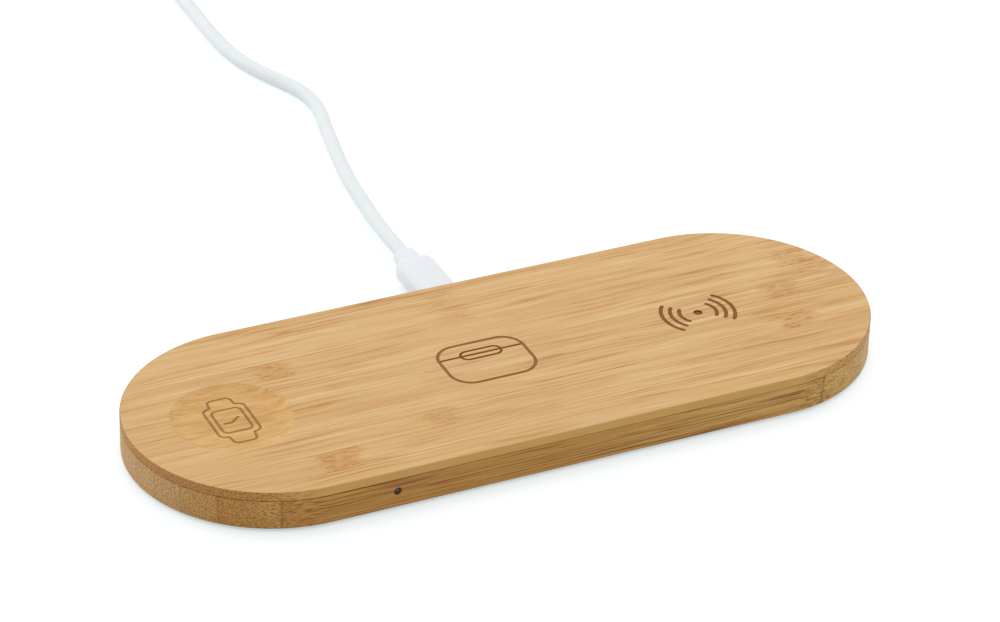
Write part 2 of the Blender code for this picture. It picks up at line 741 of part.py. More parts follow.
def build_port(steel, plastic, charger, cutters, root):
    """The USB-C socket: a metal shell, and a plastic block whose tongue stands inside it."""
    shell = stadium(PORT_SHELL_WIDTH, PORT_SHELL_HEIGHT, PORT_END_STEPS)
    bore = stadium(PORT_BORE_WIDTH, PORT_BORE_HEIGHT, PORT_END_STEPS)
    made = side_plate(
        "usb_c_port_shell", [shell, bore], PORT_BACK_Y, PORT_FACE_Y, charger, PORT_X, PORT_Z
    )
    give(made, steel, root)
    back = stadium(PORT_BORE_WIDTH - 2 * SEAT_GAP, PORT_BORE_HEIGHT - 2 * SEAT_GAP, PORT_END_STEPS)
    front_y = PORT_BACK_Y + PORT_BLOCK_LENGTH
    made = side_plate("usb_c_port_tongue", [back], PORT_BACK_Y, front_y, charger, PORT_X, PORT_Z)
    length = PORT_TONGUE_LENGTH + PORT_BLOCK_LENGTH / 2
    size = (PORT_TONGUE_WIDTH, length, PORT_TONGUE_THICKNESS)
    at = (PORT_X, front_y - PORT_BLOCK_LENGTH / 2 + length / 2, PORT_Z)
    cut(made, block("port_tongue_blade", size, cutters, at=at), "UNION")
    give(made, plastic, root)


def build_light(emitter, smoked, charger, root):
    """The status light on the board, by its front edge, and the light pipe in the wall before it."""
    at = (LED_X, LED_Y, LED_Z)
    give(block("status_led", LED_SIZE, charger, at=at), emitter, root)
    radius = LIGHT_HOLE_DIAMETER / 2 - SEAT_GAP
    length = WALL - LIGHT_PIPE_RECESS - SEAT_GAP
    profile = [
        (0, length),
        (radius - LIGHT_PIPE_DOME, length),
        (radius, length - LIGHT_PIPE_DOME),
        (radius, 0),
        (0, 0),
    ]
    at = (LED_X, POCKET_FRONT_Y - SEAT_GAP, LED_Z)
    pipe = turned("light_pipe", profile, charger, ROUND_STEPS // 2, at, math.pi / 2)
    give(pipe, smoked, root)


# Bamboo


def foot_places():
    """Each foot's name and place: front is -Y and left is -X."""
    x = PAD_LENGTH / 2 - FOOT_END_INSET
    y = PAD_WIDTH / 2 - FOOT_SIDE_INSET
    return {
        "foot_front_left": (-x, -y),
        "foot_front_right": (x, -y),
        "foot_rear_left": (-x, y),
        "foot_rear_right": (x, y),
    }


def build_feet(silicone, charger, root):
    high = WOOD_Z + FOOT_BORE_DEPTH - SEAT_GAP
    profile = [
        (0, high),
        (FOOT_RADIUS, high),
        (FOOT_RADIUS, FOOT_CHAMFER),
        (FOOT_RADIUS - FOOT_CHAMFER, 0),
        (0, 0),
    ]
    for name, (x, y) in foot_places().items():
        give(turned(name, profile, charger, ROUND_STEPS, (x, y, 0)), silicone, root)


def base_cutters(cutters):
    """The pockets, channels and holes that are milled out of the base."""
    above = BASE_TOP_Z + CUT_OVERRUN
    rims = [
        circle(place.ferrite_radius + POCKET_CLEARANCE, POCKET_STEPS, (place.x, 0))
        for place in PLACES
    ]
    yield plate("coil_pockets", rims, SHELF_Z, above, cutters)
    pocket = board_outline(BOARD_CLEARANCE)
    yield plate("board_pocket", [pocket], BOARD_FLOOR_Z, above, cutters)
    channels = []
    for place in PLACES:
        start = place.arm_edge_x
        left, right = sorted((start, place.x))
        for row in place.lead_rows():
            half = LEAD_CHANNEL_WIDTH / 2
            channels.append(rectangle(left, right, row - half, row + half))
    yield plate("lead_channels", channels, CHANNEL_FLOOR_Z, above, cutters)
    slot = stadium(
        PORT_SHELL_WIDTH + 2 * SEAT_GAP, PORT_SHELL_HEIGHT + 2 * SEAT_GAP, PORT_END_STEPS
    )
    front, rear = BOARD_REAR_Y, REAR_Y + CUT_OVERRUN
    yield side_plate("port_slot", [slot], front, rear, cutters, PORT_X, PORT_Z)
    hole = circle(LIGHT_HOLE_DIAMETER / 2, ROUND_STEPS)
    front, rear = -REAR_Y - CUT_OVERRUN, POCKET_FRONT_Y + CUT_OVERRUN
    yield side_plate("light_hole", [hole], front, rear, cutters, LED_X, LED_Z)
    radius = FOOT_RADIUS + SEAT_GAP
    bores = [circle(radius, ROUND_STEPS, place) for place in foot_places().values()]
    low, high = WOOD_Z - CUT_OVERRUN, WOOD_Z + FOOT_BORE_DEPTH
    yield plate("foot_bores", bores, low, high, cutters)


def build_base(bamboo, charger, cutters, root):
    outline = stadium(PAD_LENGTH, PAD_WIDTH, END_ARC_STEPS)
    base = plate("base_body", [outline], WOOD_Z, BASE_TOP_Z, charger)
    round_rim(base, False, EDGE_ROUND)
    for cutter in base_cutters(cutters):
        cut(base, cutter)
    give(base, bamboo, root)


def dish_profile():
    """The watch's dish, as a cutter: a flat floor in a cove that meets the panel's top at its rim."""
    width = DISH_RADIUS - DISH_FLOOR_RADIUS
    cove_radius = (width**2 + DISH_DEPTH**2) / (2 * DISH_DEPTH)
    sweep = math.asin(width / cove_radius)
    floor_z = PAD_TOP_Z - DISH_DEPTH
    profile = [(0, PAD_TOP_Z + CUT_OVERRUN), (DISH_RADIUS, PAD_TOP_Z + CUT_OVERRUN)]
    for i in range(DISH_COVE_STEPS, -1, -1):
        angle = sweep * i / DISH_COVE_STEPS
        radius = DISH_FLOOR_RADIUS + cove_radius * math.sin(angle)
        profile.append((radius, floor_z + cove_radius * (1 - math.cos(angle))))
    return [*profile, (0, floor_z)]


def watch_outline():
    """A watch's case with a stub of strap at each end, as one closed line."""
    case_x, case_y = WATCH_CASE_WIDTH / 2, WATCH_CASE_HEIGHT / 2
    strap_x = WATCH_STRAP_WIDTH / 2
    tip_x, tip_y = strap_x - WATCH_STRAP_TAPER, case_y + WATCH_STRAP_REACH
    quarter = [
        (case_x, case_y, WATCH_CASE_ROUND),
        (strap_x, case_y, WATCH_STRAP_ROOT_ROUND),
        (tip_x, tip_y, WATCH_STRAP_ROUND),
    ]
    left = [(-x, y, radius) for x, y, radius in reversed(quarter)]
    lower_left = [(-x, -y, radius) for x, y, radius in quarter]
    lower_right = [(x, -y, radius) for x, y, radius in reversed(quarter)]
    return filleted(quarter + left + lower_left + lower_right, SIGN_CORNER_STEPS)


def sign_strokes():
    """The engraved lines, each (points, closed, width, centre, height)."""
    dish_z = PAD_TOP_Z - DISH_DEPTH + STROKE_RISE
    top_z = PAD_TOP_Z + STROKE_RISE
    watch, earbud, phone = (WATCH_X, 0), (EARBUD_X, 0), (PHONE_X, 0)
    screen_width = WATCH_CASE_WIDTH - 2 * WATCH_SCREEN_MARGIN
    screen_height = WATCH_CASE_HEIGHT - 2 * WATCH_SCREEN_MARGIN
    screen = rounded_rectangle(screen_width, screen_height, WATCH_SCREEN_ROUND, SIGN_CORNER_STEPS)
    hands = [(WATCH_CASE_WIDTH * x, WATCH_CASE_HEIGHT * y) for x, y in WATCH_HAND_SHARES]
    case = rounded_rectangle(
        EARBUD_CASE_WIDTH, EARBUD_CASE_HEIGHT, EARBUD_CASE_ROUND, 2 * SIGN_CORNER_STEPS
    )
    lid_y = EARBUD_CASE_HEIGHT * EARBUD_LID_HEIGHT_SHARE
    catch = stadium(EARBUD_CATCH_WIDTH, EARBUD_CATCH_HEIGHT, 2 * SIGN_CORNER_STEPS)
    yield watch_outline(), True, FINE_STROKE, watch, dish_z
    yield screen, True, FINE_STROKE, watch, dish_z
    yield hands, False, FINE_STROKE, watch, dish_z
    yield case, True, CASE_STROKE, earbud, top_z
    yield catch, True, FINE_STROKE, (EARBUD_X, lid_y), top_z
    for i in range(WAVE_COUNT):
        radius = WAVE_FIRST_RADIUS + i * WAVE_PITCH
        for middle in (0, math.pi):
            start, end = middle - WAVE_HALF_ANGLE, middle + WAVE_HALF_ANGLE
            yield arc((0, 0), radius, start, end, WAVE_STEPS), False, WAVE_STROKE, phone, top_z


def engraver(name, strokes, cutters):
    """A cutter that follows the strokes: a square rod on edge, so that it leaves a V-shaped line."""
    curve = bpy.data.curves.new(name, "CURVE")
    curve.dimensions = "3D"
    curve.bevel_depth = WAVE_STROKE / 2
    curve.bevel_resolution = 0
    curve.use_fill_caps = True
    for points, closed, width, (x, y), z in strokes:
        spline = curve.splines.new("POLY")
        spline.points.add(len(points) - 1)
        spline.use_cyclic_u = closed
        for point, place in zip(spline.points, points):
            point.co = (x + place[0], y + place[1], z, 1)
            point.radius = width / WAVE_STROKE
    return mesh_of_curve(new_object(name, curve, cutters), cutters)


def build_panel(bamboo, charger, cutters, root):
    outline = stadium(PAD_LENGTH, PAD_WIDTH, END_ARC_STEPS)
    panel = plate("top_panel", [outline], PANEL_Z, PAD_TOP_Z, charger)
    round_rim(panel, True, EDGE_ROUND)
    cut(panel, turned("watch_dish", dish_profile(), cutters, DISH_STEPS, (WATCH_X, 0, 0)))
    cut(panel, engraver("sign_lines", sign_strokes(), cutters))
    half = EARBUD_CASE_WIDTH / 2
    lid_y = EARBUD_CASE_HEIGHT * EARBUD_LID_HEIGHT_SHARE
    lid = ([(-half, lid_y), (half, lid_y)], False, FINE_STROKE, (EARBUD_X, 0), PAD_TOP_Z)
    cut(panel, engraver("lid_line", [lid], cutters))
    dot = circle(WAVE_DOT_RADIUS, ROUND_STEPS // 2)
    low, high = PAD_TOP_Z - WAVE_STROKE / 2, PAD_TOP_Z + CUT_OVERRUN
    cut(panel, plate("wave_dot", [dot], low, high, cutters, (PHONE_X, 0)))
    give(panel, bamboo, root)


# Cable and plugs


def build_c_shell(steel, cable, cutters, carrier):
    """The USB-C plug's metal shell, which reaches into the socket."""
    tip = stadium(PLUG_SHELL_WIDTH, PLUG_SHELL_HEIGHT, PORT_END_STEPS)
    rear = PLUG_FACE_Y + PLUG_SEAT_DEPTH - SEAT_GAP
    shell = side_plate("usb_c_plug_shell", [tip], PLUG_TIP_Y, rear, cable, PORT_X, PORT_Z)
    bore = stadium(PLUG_BORE_WIDTH, PLUG_BORE_HEIGHT, PORT_END_STEPS)
    front, rear = PLUG_TIP_Y - CUT_OVERRUN, PLUG_TIP_Y + PLUG_BORE_DEPTH
    cut(shell, side_plate("plug_bore", [bore], front, rear, cutters, PORT_X, PORT_Z))
    give(shell, steel, carrier)


def build_c_body(white, cable, cutters, carrier):
    """The USB-C plug's white body, with a seat for the shell, and the tapered collar behind it."""
    size = (PLUG_BODY_WIDTH, PLUG_BODY_LENGTH, PLUG_BODY_HEIGHT)
    at = (PORT_X, PLUG_FACE_Y + PLUG_BODY_LENGTH / 2, PORT_Z)
    body = block("usb_c_overmold", size, cable, PLUG_BODY_ROUND, END_ROUND_SHARE, at=at)
    width, height = PLUG_SHELL_WIDTH + 2 * SEAT_GAP, PLUG_SHELL_HEIGHT + 2 * SEAT_GAP
    seat = stadium(width, height, PORT_END_STEPS)
    front, rear = PLUG_FACE_Y - CUT_OVERRUN, PLUG_FACE_Y + PLUG_SEAT_DEPTH
    cut(body, side_plate("plug_seat", [seat], front, rear, cutters, PORT_X, PORT_Z))
    give(body, white, carrier)
    size = (COLLAR_WIDTH, COLLAR_LENGTH, COLLAR_HEIGHT)
    at = (PORT_X, COLLAR_Y + COLLAR_LENGTH / 2, PORT_Z)
    shares = (END_ROUND_SHARE, COLLAR_TAPER_SHARE)
    give(block("usb_c_strain_relief", size, cable, COLLAR_ROUND, *shares, at), white, carrier)


def build_a_body(white, cable, cutters, carrier):
    """The USB-A plug's body and collar. The block's own +Y end faces the coil's tail."""
    turn = math.pi / 2
    size = (A_COLLAR_WIDTH, A_COLLAR_LENGTH, A_COLLAR_HEIGHT)
    at = (A_COLLAR_X + A_COLLAR_LENGTH / 2, A_PLUG_Y, A_PLUG_Z)
    shares = (END_ROUND_SHARE, COLLAR_TAPER_SHARE)
    collar = block("usb_a_strain_relief", size, cable, COLLAR_ROUND, *shares, at, turn)
    give(collar, white, carrier)
    size = (A_BODY_WIDTH, A_BODY_LENGTH, A_BODY_HEIGHT)
    at = (A_BODY_X + A_BODY_LENGTH / 2, A_PLUG_Y, A_PLUG_Z)
    body = block("usb_a_overmold", size, cable, A_BODY_ROUND, at=at, turn=turn)
    width, height = A_SHELL_WIDTH + 2 * SEAT_GAP, A_SHELL_HEIGHT + 2 * SEAT_GAP
    size = (width, A_SEAT_DEPTH + CUT_OVERRUN, height)
    at = (A_FACE_X + (CUT_OVERRUN - A_SEAT_DEPTH) / 2, A_PLUG_Y, A_PLUG_Z)
    cut(body, block("a_plug_seat", size, cutters, at=at, turn=turn))
    give(body, white, carrier)


def build_a_shell(steel, white, cable, carrier):
    """The USB-A plug's metal shell, and the tongue against the shell's upper wall."""
    turn, wall = math.pi / 2, A_SHELL_WALL
    start, end = A_FACE_X - A_SEAT_DEPTH + SEAT_GAP, A_FACE_X + A_SHELL_REACH
    width, height = A_SHELL_WIDTH, A_SHELL_HEIGHT
    outer = rounded_rectangle(width, height, A_SHELL_ROUND, A_SHELL_CORNER_STEPS)
    width, height = width - 2 * wall, height - 2 * wall
    inner = rounded_rectangle(width, height, A_SHELL_ROUND - wall, A_SHELL_CORNER_STEPS)
    shell = plate("usb_a_shell", [outer, inner], (start - end) / 2, (end - start) / 2, cable)
    shell.rotation_euler = (math.pi / 2, 0, turn)
    shell.location = ((start + end) / 2, A_PLUG_Y, A_PLUG_Z)
    give(shell, steel, carrier)
    end -= A_TONGUE_RECESS
    size = (width - 2 * SEAT_GAP, end - start, A_TONGUE_THICKNESS)
    at = ((start + end) / 2, A_PLUG_Y, A_PLUG_Z + (height - A_TONGUE_THICKNESS) / 2 - SEAT_GAP)
    give(block("usb_a_tongue", size, cable, at=at, turn=turn), white, carrier)


def coil_line():
    """The wound cable: in along the desk, up a layer where the spiral turns back, and out on top."""
    half = COIL_TURNS / 2
    line = [(COIL_START_X, COIL_Y - CABLE_DIAMETER, COIL_LOW_Z)]
    for i in range(round(COIL_TURNS * LOOP_STEPS) + 1):
        turns = i / LOOP_STEPS
        angle = math.pi * (1 - 2 * turns)
        radius = COIL_INNER_RADIUS + COIL_PITCH * abs(turns - half)
        height = COIL_LOW_Z + COIL_LAYER_RISE * ease((turns - half) * 2 + 0.5)
        line.append((COIL_X + radius * math.cos(angle), COIL_Y + radius * math.sin(angle), height))
    line.append((COIL_X + CABLE_DIAMETER, TAIL_Y, COIL_HIGH_Z))
    return line


def tail_line():
    """The cable's last stretch, down from the coil's top layer to the plug on the desk."""
    line = []
    for i in range(TAIL_STEPS + 1):
        share = i / TAIL_STEPS
        y = TAIL_Y - TAIL_SHIFT * ease(share)
        z = COIL_HIGH_Z + (A_PLUG_Z - COIL_HIGH_Z) * ease(share)
        line.append((TAIL_START_X + TAIL_LENGTH * share, y, z))
    return line


def run_line():
    """The free cable, from the plug's collar along the desk to the coil."""
    start = [(PORT_X, CABLE_EXIT_Y, PORT_Z)]
    end_y = COIL_Y - CABLE_DIAMETER - SEAT_GAP
    end = [(COIL_START_X, end_y - CABLE_DIAMETER, COIL_LOW_Z), (COIL_START_X, end_y, COIL_LOW_Z)]
    return smooth_line([*start, *CABLE_ROUTE, *end])


def build_tie(grey, cable, carrier):
    """A closed band round both layers, half a turn from the place where the cable comes in."""
    near = COIL_INNER_RADIUS
    far = COIL_OUTER_RADIUS - COIL_PITCH / 2
    width = far - near + CABLE_DIAMETER + 2 * SEAT_GAP
    height = COIL_HIGH_Z - COIL_LOW_Z + CABLE_DIAMETER + 2 * SEAT_GAP
    radius, wall = CABLE_DIAMETER / 2, TIE_THICKNESS
    inner = rounded_rectangle(width, height, radius, TIE_CORNER_STEPS)
    width, height = width + 2 * wall, height + 2 * wall
    outer = rounded_rectangle(width, height, radius + wall, TIE_CORNER_STEPS)
    tie = plate("cable_tie", [outer, inner], -TIE_WIDTH / 2, TIE_WIDTH / 2, cable)
    tie.rotation_euler = (math.pi / 2, 0, 0)
    tie.location = (COIL_X + (far + near) / 2, COIL_Y, (COIL_LOW_Z + COIL_HIGH_Z) / 2)
    give(tie, grey, carrier)


def build_cable(white, grey, cable, carrier):
    run = run_line()
    coil = coil_line()
    tail = tail_line()
    report_cord("cable_coil", coil, CABLE_DIAMETER)
    total = line_length(run) + line_length(coil) + line_length(tail)
    print(f"cable: {total * 1000:.0f} mm from collar to collar")
    points = resampled(run, CABLE_DIAMETER * CABLE_STEP_DIAMETERS)
    give(tube("cable_run", points, CABLE_DIAMETER, cable, 2), white, carrier)
    give(tube("cable_coil", coil, CABLE_DIAMETER, cable, 1), white, carrier)
    give(tube("cable_tail", tail, CABLE_DIAMETER, cable, 2), white, carrier)
    build_tie(grey, cable, carrier)


def finishes():
    return {
        "bamboo": material("bamboo", (0.62, 0.38, 0.15), 0.45),
        "base": material("bamboo base", (0.55, 0.31, 0.11), 0.5),
        "silicone": material("silicone", (0.75, 0.75, 0.74), 0.6),
        "litz": material("litz wire", (0.7, 0.3, 0.12), 0.4),
        "ferrite": material("ferrite", (0.05, 0.05, 0.055), 0.6),
        "foam": material("foam tape", (0.85, 0.84, 0.8), 0.9),
        "board": material("board lacquer", (0.02, 0.16, 0.07), 0.35),
        "chip": material("chip plastic", (0.02, 0.02, 0.022), 0.5),
        "ceramic": material("ceramic", (0.42, 0.3, 0.18), 0.5),
        "steel": material("plated steel", (0.7, 0.7, 0.71), 0.25, 1.0),
        "black": material("black plastic", (0.02, 0.02, 0.02), 0.5),
        "emitter": material("light emitter", (0.8, 0.82, 0.75), 0.3),
        "smoked": material("smoked lens", (0.03, 0.035, 0.05), 0.12),
        "white": material("white cable", (0.83, 0.84, 0.85), 0.45),
        "tie": material("woven tie", (0.6, 0.61, 0.62), 0.85),
    }


def build_pad(finish, charger, cutters, root):
    build_base(finish["base"], charger, cutters, root)
    build_panel(finish["bamboo"], charger, cutters, root)
    build_feet(finish["silicone"], charger, root)
    for place in PLACES:
        build_coil(place, finish["litz"], charger, root)
        build_shield(place, finish["ferrite"], finish["foam"], charger, cutters, root)
    build_magnet(finish["steel"], charger, root)
    build_board(finish["board"], finish["foam"], charger, cutters, root)
    build_components((finish["chip"], finish["ceramic"], finish["ferrite"]), charger, root)
    build_port(finish["steel"], finish["black"], charger, cutters, root)
    build_light(finish["emitter"], finish["smoked"], charger, root)


def build_lead(finish, charger, cutters, carrier):
    build_c_shell(finish["steel"], charger, cutters, carrier)
    build_c_body(finish["white"], charger, cutters, carrier)
    build_cable(finish["white"], finish["tie"], charger, carrier)
    build_a_body(finish["white"], charger, cutters, carrier)
    build_a_shell(finish["steel"], finish["white"], charger, carrier)


def main():
    for old in list(bpy.data.objects):
        bpy.data.objects.remove(old)
    charger = new_collection("wireless_charger")
    cutters = new_collection("cutters")
    root = new_object("pad", None, charger)
    carrier = new_object("cable_plug_axis", None, charger)
    carrier.location = (PORT_X, REAR_Y, PORT_Z)
    finish = finishes()
    build_pad(finish, charger, cutters, root)
    build_lead(finish, charger, cutters, carrier)


main()
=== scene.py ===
# %% [markdown]
# # A bamboo wireless charger
#
# The real object is a long board with round ends: a bamboo base, milled hollow from above, under a
# thin bamboo panel. Three places on it charge a phone, an earbud case and a watch, and a white
# cable is plugged into the rear edge. This lesson dresses a fixed frame of plain solids: each
# visible piece is modelled again where its solid stands, with finer edges and a finish of its own.

# %% Open the frame

import math

import bmesh
import bpy
from mathutils import Matrix, Vector


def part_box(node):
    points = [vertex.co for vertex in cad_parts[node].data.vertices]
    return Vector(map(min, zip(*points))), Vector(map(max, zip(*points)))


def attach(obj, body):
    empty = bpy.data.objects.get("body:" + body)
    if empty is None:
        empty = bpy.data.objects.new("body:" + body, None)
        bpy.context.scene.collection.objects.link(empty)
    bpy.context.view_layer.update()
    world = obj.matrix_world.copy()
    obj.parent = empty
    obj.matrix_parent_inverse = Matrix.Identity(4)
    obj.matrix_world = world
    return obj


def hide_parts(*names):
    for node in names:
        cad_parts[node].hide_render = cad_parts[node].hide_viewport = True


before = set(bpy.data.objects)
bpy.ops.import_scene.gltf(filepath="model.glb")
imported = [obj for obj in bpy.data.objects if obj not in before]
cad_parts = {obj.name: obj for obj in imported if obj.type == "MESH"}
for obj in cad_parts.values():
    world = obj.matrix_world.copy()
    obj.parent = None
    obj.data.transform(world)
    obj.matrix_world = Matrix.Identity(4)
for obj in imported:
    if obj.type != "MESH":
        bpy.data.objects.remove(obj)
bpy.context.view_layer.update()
bpy.context.scene.view_settings.view_transform = "Standard"

# %% [markdown]
# The camera comes first, because everything is compared with the photograph through it. It looks
# down on the pad from its front left with a long lens. The angles were found by laying the pad's
# known outline over the photograph, so the camera is placed from angles and a distance, not by eye.

# %% Camera

SENSOR_MM = 36
LENS_MM = 141.666
CLIP_START, CLIP_END = 0.05, 20
CAMERA_DISTANCE = 1.160
CAMERA_TARGET = Vector((0.01762, 0.04019, 0.0008))
CAMERA_TURN, CAMERA_RISE, CAMERA_ROLL = (math.radians(a) for a in (-25.628, 31.253, 1.58))


def place_camera():
    level = math.cos(CAMERA_RISE)
    back = Vector(
        (math.sin(CAMERA_TURN) * level, -math.cos(CAMERA_TURN) * level, math.sin(CAMERA_RISE))
    )
    right = (-back).cross(Vector((0, 0, 1))).normalized()
    axes = Matrix((right, back.cross(right), back)).transposed().to_4x4()
    bpy.ops.object.camera_add()
    camera = bpy.context.object
    camera.name = "photo_camera"
    camera.data.sensor_width = SENSOR_MM
    camera.data.lens = LENS_MM
    camera.data.clip_start, camera.data.clip_end = CLIP_START, CLIP_END
    place = Matrix.Translation(CAMERA_TARGET + back * CAMERA_DISTANCE)
    camera.matrix_world = place @ axes @ Matrix.Rotation(CAMERA_ROLL, 4, "Z")
    bpy.context.scene.camera = camera
    return camera


print("camera at", [round(c, 3) for c in place_camera().matrix_world.translation])

# %% [markdown]
# Every finish in this file is a small net of nodes. Building such a net by hand means adding a
# node, setting its numbers and pulling a wire, over and over. Short helper classes do those three
# steps, so that the recipes below read like sums. A Wire is a value on its way from one node to the
# next, and adding, multiplying or comparing wires puts a Math node between them. Nodes is a tree
# that grows by calls, and a Net is the tree of one material, which knows a few more words: noise
# stretched along the fibres, bands, and coats of colour laid over each other.

# %% Helpers for materials


def paint(red, green, blue):
    """A colour as paint charts give it, from 0 to 255, as the linear colour of shaders."""
    parts = [part / 255 for part in (red, green, blue)]
    linear = [c / 12.92 if c <= 0.04045 else ((c + 0.055) / 1.055) ** 2.4 for c in parts]
    return (*linear, 1)


class Wire:
    """A value on its way between nodes, which can be reckoned with like a number."""

    def __init__(self, net, socket):
        self.net, self.socket = net, socket

    def __add__(self, other):
        return self.net.sum("ADD", self, other)

    def __sub__(self, other):
        return self.net.sum("SUBTRACT", self, other)

    def __mul__(self, other):
        return self.net.sum("MULTIPLY", self, other)

    def __truediv__(self, other):
        return self.net.sum("DIVIDE", self, other)

    def __lt__(self, other):
        return self.net.sum("LESS_THAN", self, other)

    def __gt__(self, other):
        return self.net.sum("GREATER_THAN", self, other)

    def __abs__(self):
        return self.net.sum("ABSOLUTE", self)

    def share(self, low, high, *outs, **settings):
        """How far the value lies on its way from low to high."""
        return self.net.add("ShaderNodeMapRange", self, low, high, *outs, **settings)

    def step(self, low, high, out_low=0.0, out_high=1.0):
        """A smooth step: out_low below low, out_high above high."""
        return self.share(low, high, out_low, out_high, interpolation_type="SMOOTHSTEP")

    def vary(self, low, high):
        """Turns noise, which mostly stays between 0.3 and 0.7, into a value from low to high."""
        return self.step(0.3, 0.7, low, high)


class Nodes:
    """The node tree of a material or a world."""

    def __init__(self, owner):
        owner.use_nodes = True
        self.tree = owner.node_tree

    def add(self, kind, *values, output=0, **settings):
        """Adds a node, sets it up, feeds its sockets in order and gives back an output's wire."""
        node = self.tree.nodes.new(kind)
        for setting, value in settings.items():
            setattr(node, setting, value)
        for socket, value in zip(node.inputs, values):
            self.feed(socket, value)
        return Wire(self, node.outputs[output])

    def feed(self, socket, value):
        """Pulls a wire to a socket or sets its number. None leaves it as it is."""
        if isinstance(value, Wire):
            self.tree.links.new(value.socket, socket)
        elif value is not None:
            socket.default_value = value

    def sum(self, operation, *values):
        return self.add("ShaderNodeMath", *values, operation=operation)


class Net(Nodes):
    """The node net of one material, with a Principled shader at its end."""

    def __init__(self, name, **settings):
        self.material = bpy.data.materials.new(name)
        super().__init__(self.material)
        self.shader = self.tree.nodes["Principled BSDF"]
        for socket, value in settings.items():
            self.shader.inputs[socket.replace("_", " ")].default_value = value
        self.place = self.add("ShaderNodeTexCoord", output="Object")

    def stretch(self, x, y, z):
        """Coordinates in metres, multiplied by so many steps a metre along each axis."""
        return self.add("ShaderNodeVectorMath", self.place, (x, y, z), operation="MULTIPLY")

    def split(self, vector):
        """The three numbers of a vector or of a colour."""
        node = self.add("ShaderNodeSeparateXYZ", vector).socket.node
        return [Wire(self, socket) for socket in node.outputs]

    def millimetres(self):
        """The place along X, Y and Z in millimetres."""
        return self.split(self.stretch(1000, 1000, 1000))

    def join(self, x, y, z=0.0):
        return self.add("ShaderNodeCombineXYZ", x, y, z)

    def noise(self, place, scale=1.0, detail=2.0, roughness=0.5, output=0):
        return self.add(
            "ShaderNodeTexNoise", place, None, scale, detail, roughness, output=output
        )

    def grain(self, steps, detail=2.0, roughness=0.5):
        """Noise that is alike in all directions, with so many steps a metre."""
        return self.noise(self.stretch(steps, steps, steps), 1.0, detail, roughness)

    def cells(self, place, dimensions="3D"):
        """The distance to the nearest of many scattered points."""
        return self.add("ShaderNodeTexVoronoi", place, None, 1.0, voronoi_dimensions=dimensions)

    def bands(self, value, stops):
        """A ramp whose colours change abruptly, as its three numbers."""
        colour = self.add("ShaderNodeValToRGB", value)
        ramp = colour.socket.node.color_ramp
        ramp.interpolation = "CONSTANT"
        while len(ramp.elements) < len(stops):
            ramp.elements.new(1)
        for element, (position, colour_here) in zip(ramp.elements, stops):
            element.position = position
            element.color = colour_here
        return self.split(colour)

    def mix(self, share, first, second):
        """A mix of two colours, which are the seventh and eighth sockets of the node."""
        values = (share, *[None] * 5, first, second)
        return self.add("ShaderNodeMix", *values, data_type="RGBA", output=2)

    def coats(self, colour, *coats):
        """Lays coats over a colour, each a share and a colour of its own."""
        for share, coat in coats:
            colour = self.mix(share, colour, coat)
        return colour

    def finish(self, colour, roughness, *relief, metallic=None):
        """Feeds the shader. relief is a height from 0 to 1, its depth in metres, its strength."""
        inputs = self.shader.inputs
        self.feed(inputs["Base Color"], colour)
        self.feed(inputs["Roughness"], roughness)
        self.feed(inputs["Metallic"], metallic)
        if relief:
            height, depth, strength = relief
            self.feed(inputs["Normal"], self.add("ShaderNodeBump", strength, depth, None, height))
        return self.material


def plain_finish(name, clouds, colours, shine, relief, **settings):
    """An even material, a little cloudy in colour and shine, with a fine relief.

    clouds is a grain's steps and detail, and relief a grain's steps, its depth and its strength.
    """
    net = Net(name, **settings)
    tint = net.grain(*clouds)
    steps, depth, strength = relief
    colour = net.mix(tint, *(paint(*colour) for colour in colours))
    return net.finish(colour, tint.vary(*shine), net.grain(steps), depth, strength)


print("helpers for materials are ready")

# %% [markdown]
# A photographer's table for such a picture is a pale sheet under a wide soft light from above, with
# a weaker one at the left that brightens the plug's and the cable's shaded side. The sheet reads as
# white, and only the deepest part of the soft shadow round the object is left. To get there without
# overexposing the wood, the floor glows a little for the camera alone, which the Light Path node
# allows, and its own diffuse colour still takes the shadow. The room's glow does the same.

# %% Floor, room and light

FLOOR_SIZE = 8
WHITE = (1, 1, 1, 1)
FLOOR_COLOUR = (0.8, 0.8, 0.8, 1)
FLOOR_GLOW = (0.39, 0.46, 0.48, 1)
ROOM_STRENGTH = 0.68
# Each lamp: its place, its size and its power in watts.
LAMPS = {
    "main_lamp": ((0.32, 0.42, 1.15), 1.3, 5.0),
    "side_lamp": ((-0.8, 0.8, 0.45), 1.0, 3.2),
}


def seen_directly(nodes):
    """One for rays from the camera, a mirror or glass, and zero for light that spreads."""
    path = nodes.add("ShaderNodeLightPath").socket.node.outputs
    direct, *others = (
        Wire(nodes, path[f"Is {kind} Ray"]) for kind in ("Camera", "Glossy", "Transmission")
    )
    for other in others:
        direct = nodes.sum("MAXIMUM", direct, other)
    return direct


def white_sheet():
    material = bpy.data.materials.new("white_sheet")
    nodes = Nodes(material)
    nodes.tree.nodes.remove(nodes.tree.nodes["Principled BSDF"])
    diffuse = nodes.add("ShaderNodeBsdfDiffuse", FLOOR_COLOUR)
    glow = nodes.add("ShaderNodeEmission", FLOOR_GLOW, seen_directly(nodes))
    both = nodes.add("ShaderNodeAddShader", diffuse, glow)
    nodes.feed(nodes.tree.nodes["Material Output"].inputs["Surface"], both)
    return material


bpy.ops.mesh.primitive_plane_add(size=FLOOR_SIZE)
floor = bpy.context.object
floor.name = "floor"
floor.data.materials.append(white_sheet())


def light_room():
    world = bpy.data.worlds.new("soft_room")
    bpy.context.scene.world = world
    nodes = Nodes(world)
    background = nodes.tree.nodes["Background"].inputs
    background["Color"].default_value = WHITE
    nodes.feed(background["Strength"], seen_directly(nodes).share(0.0, 1.0, ROOM_STRENGTH, 1.0))


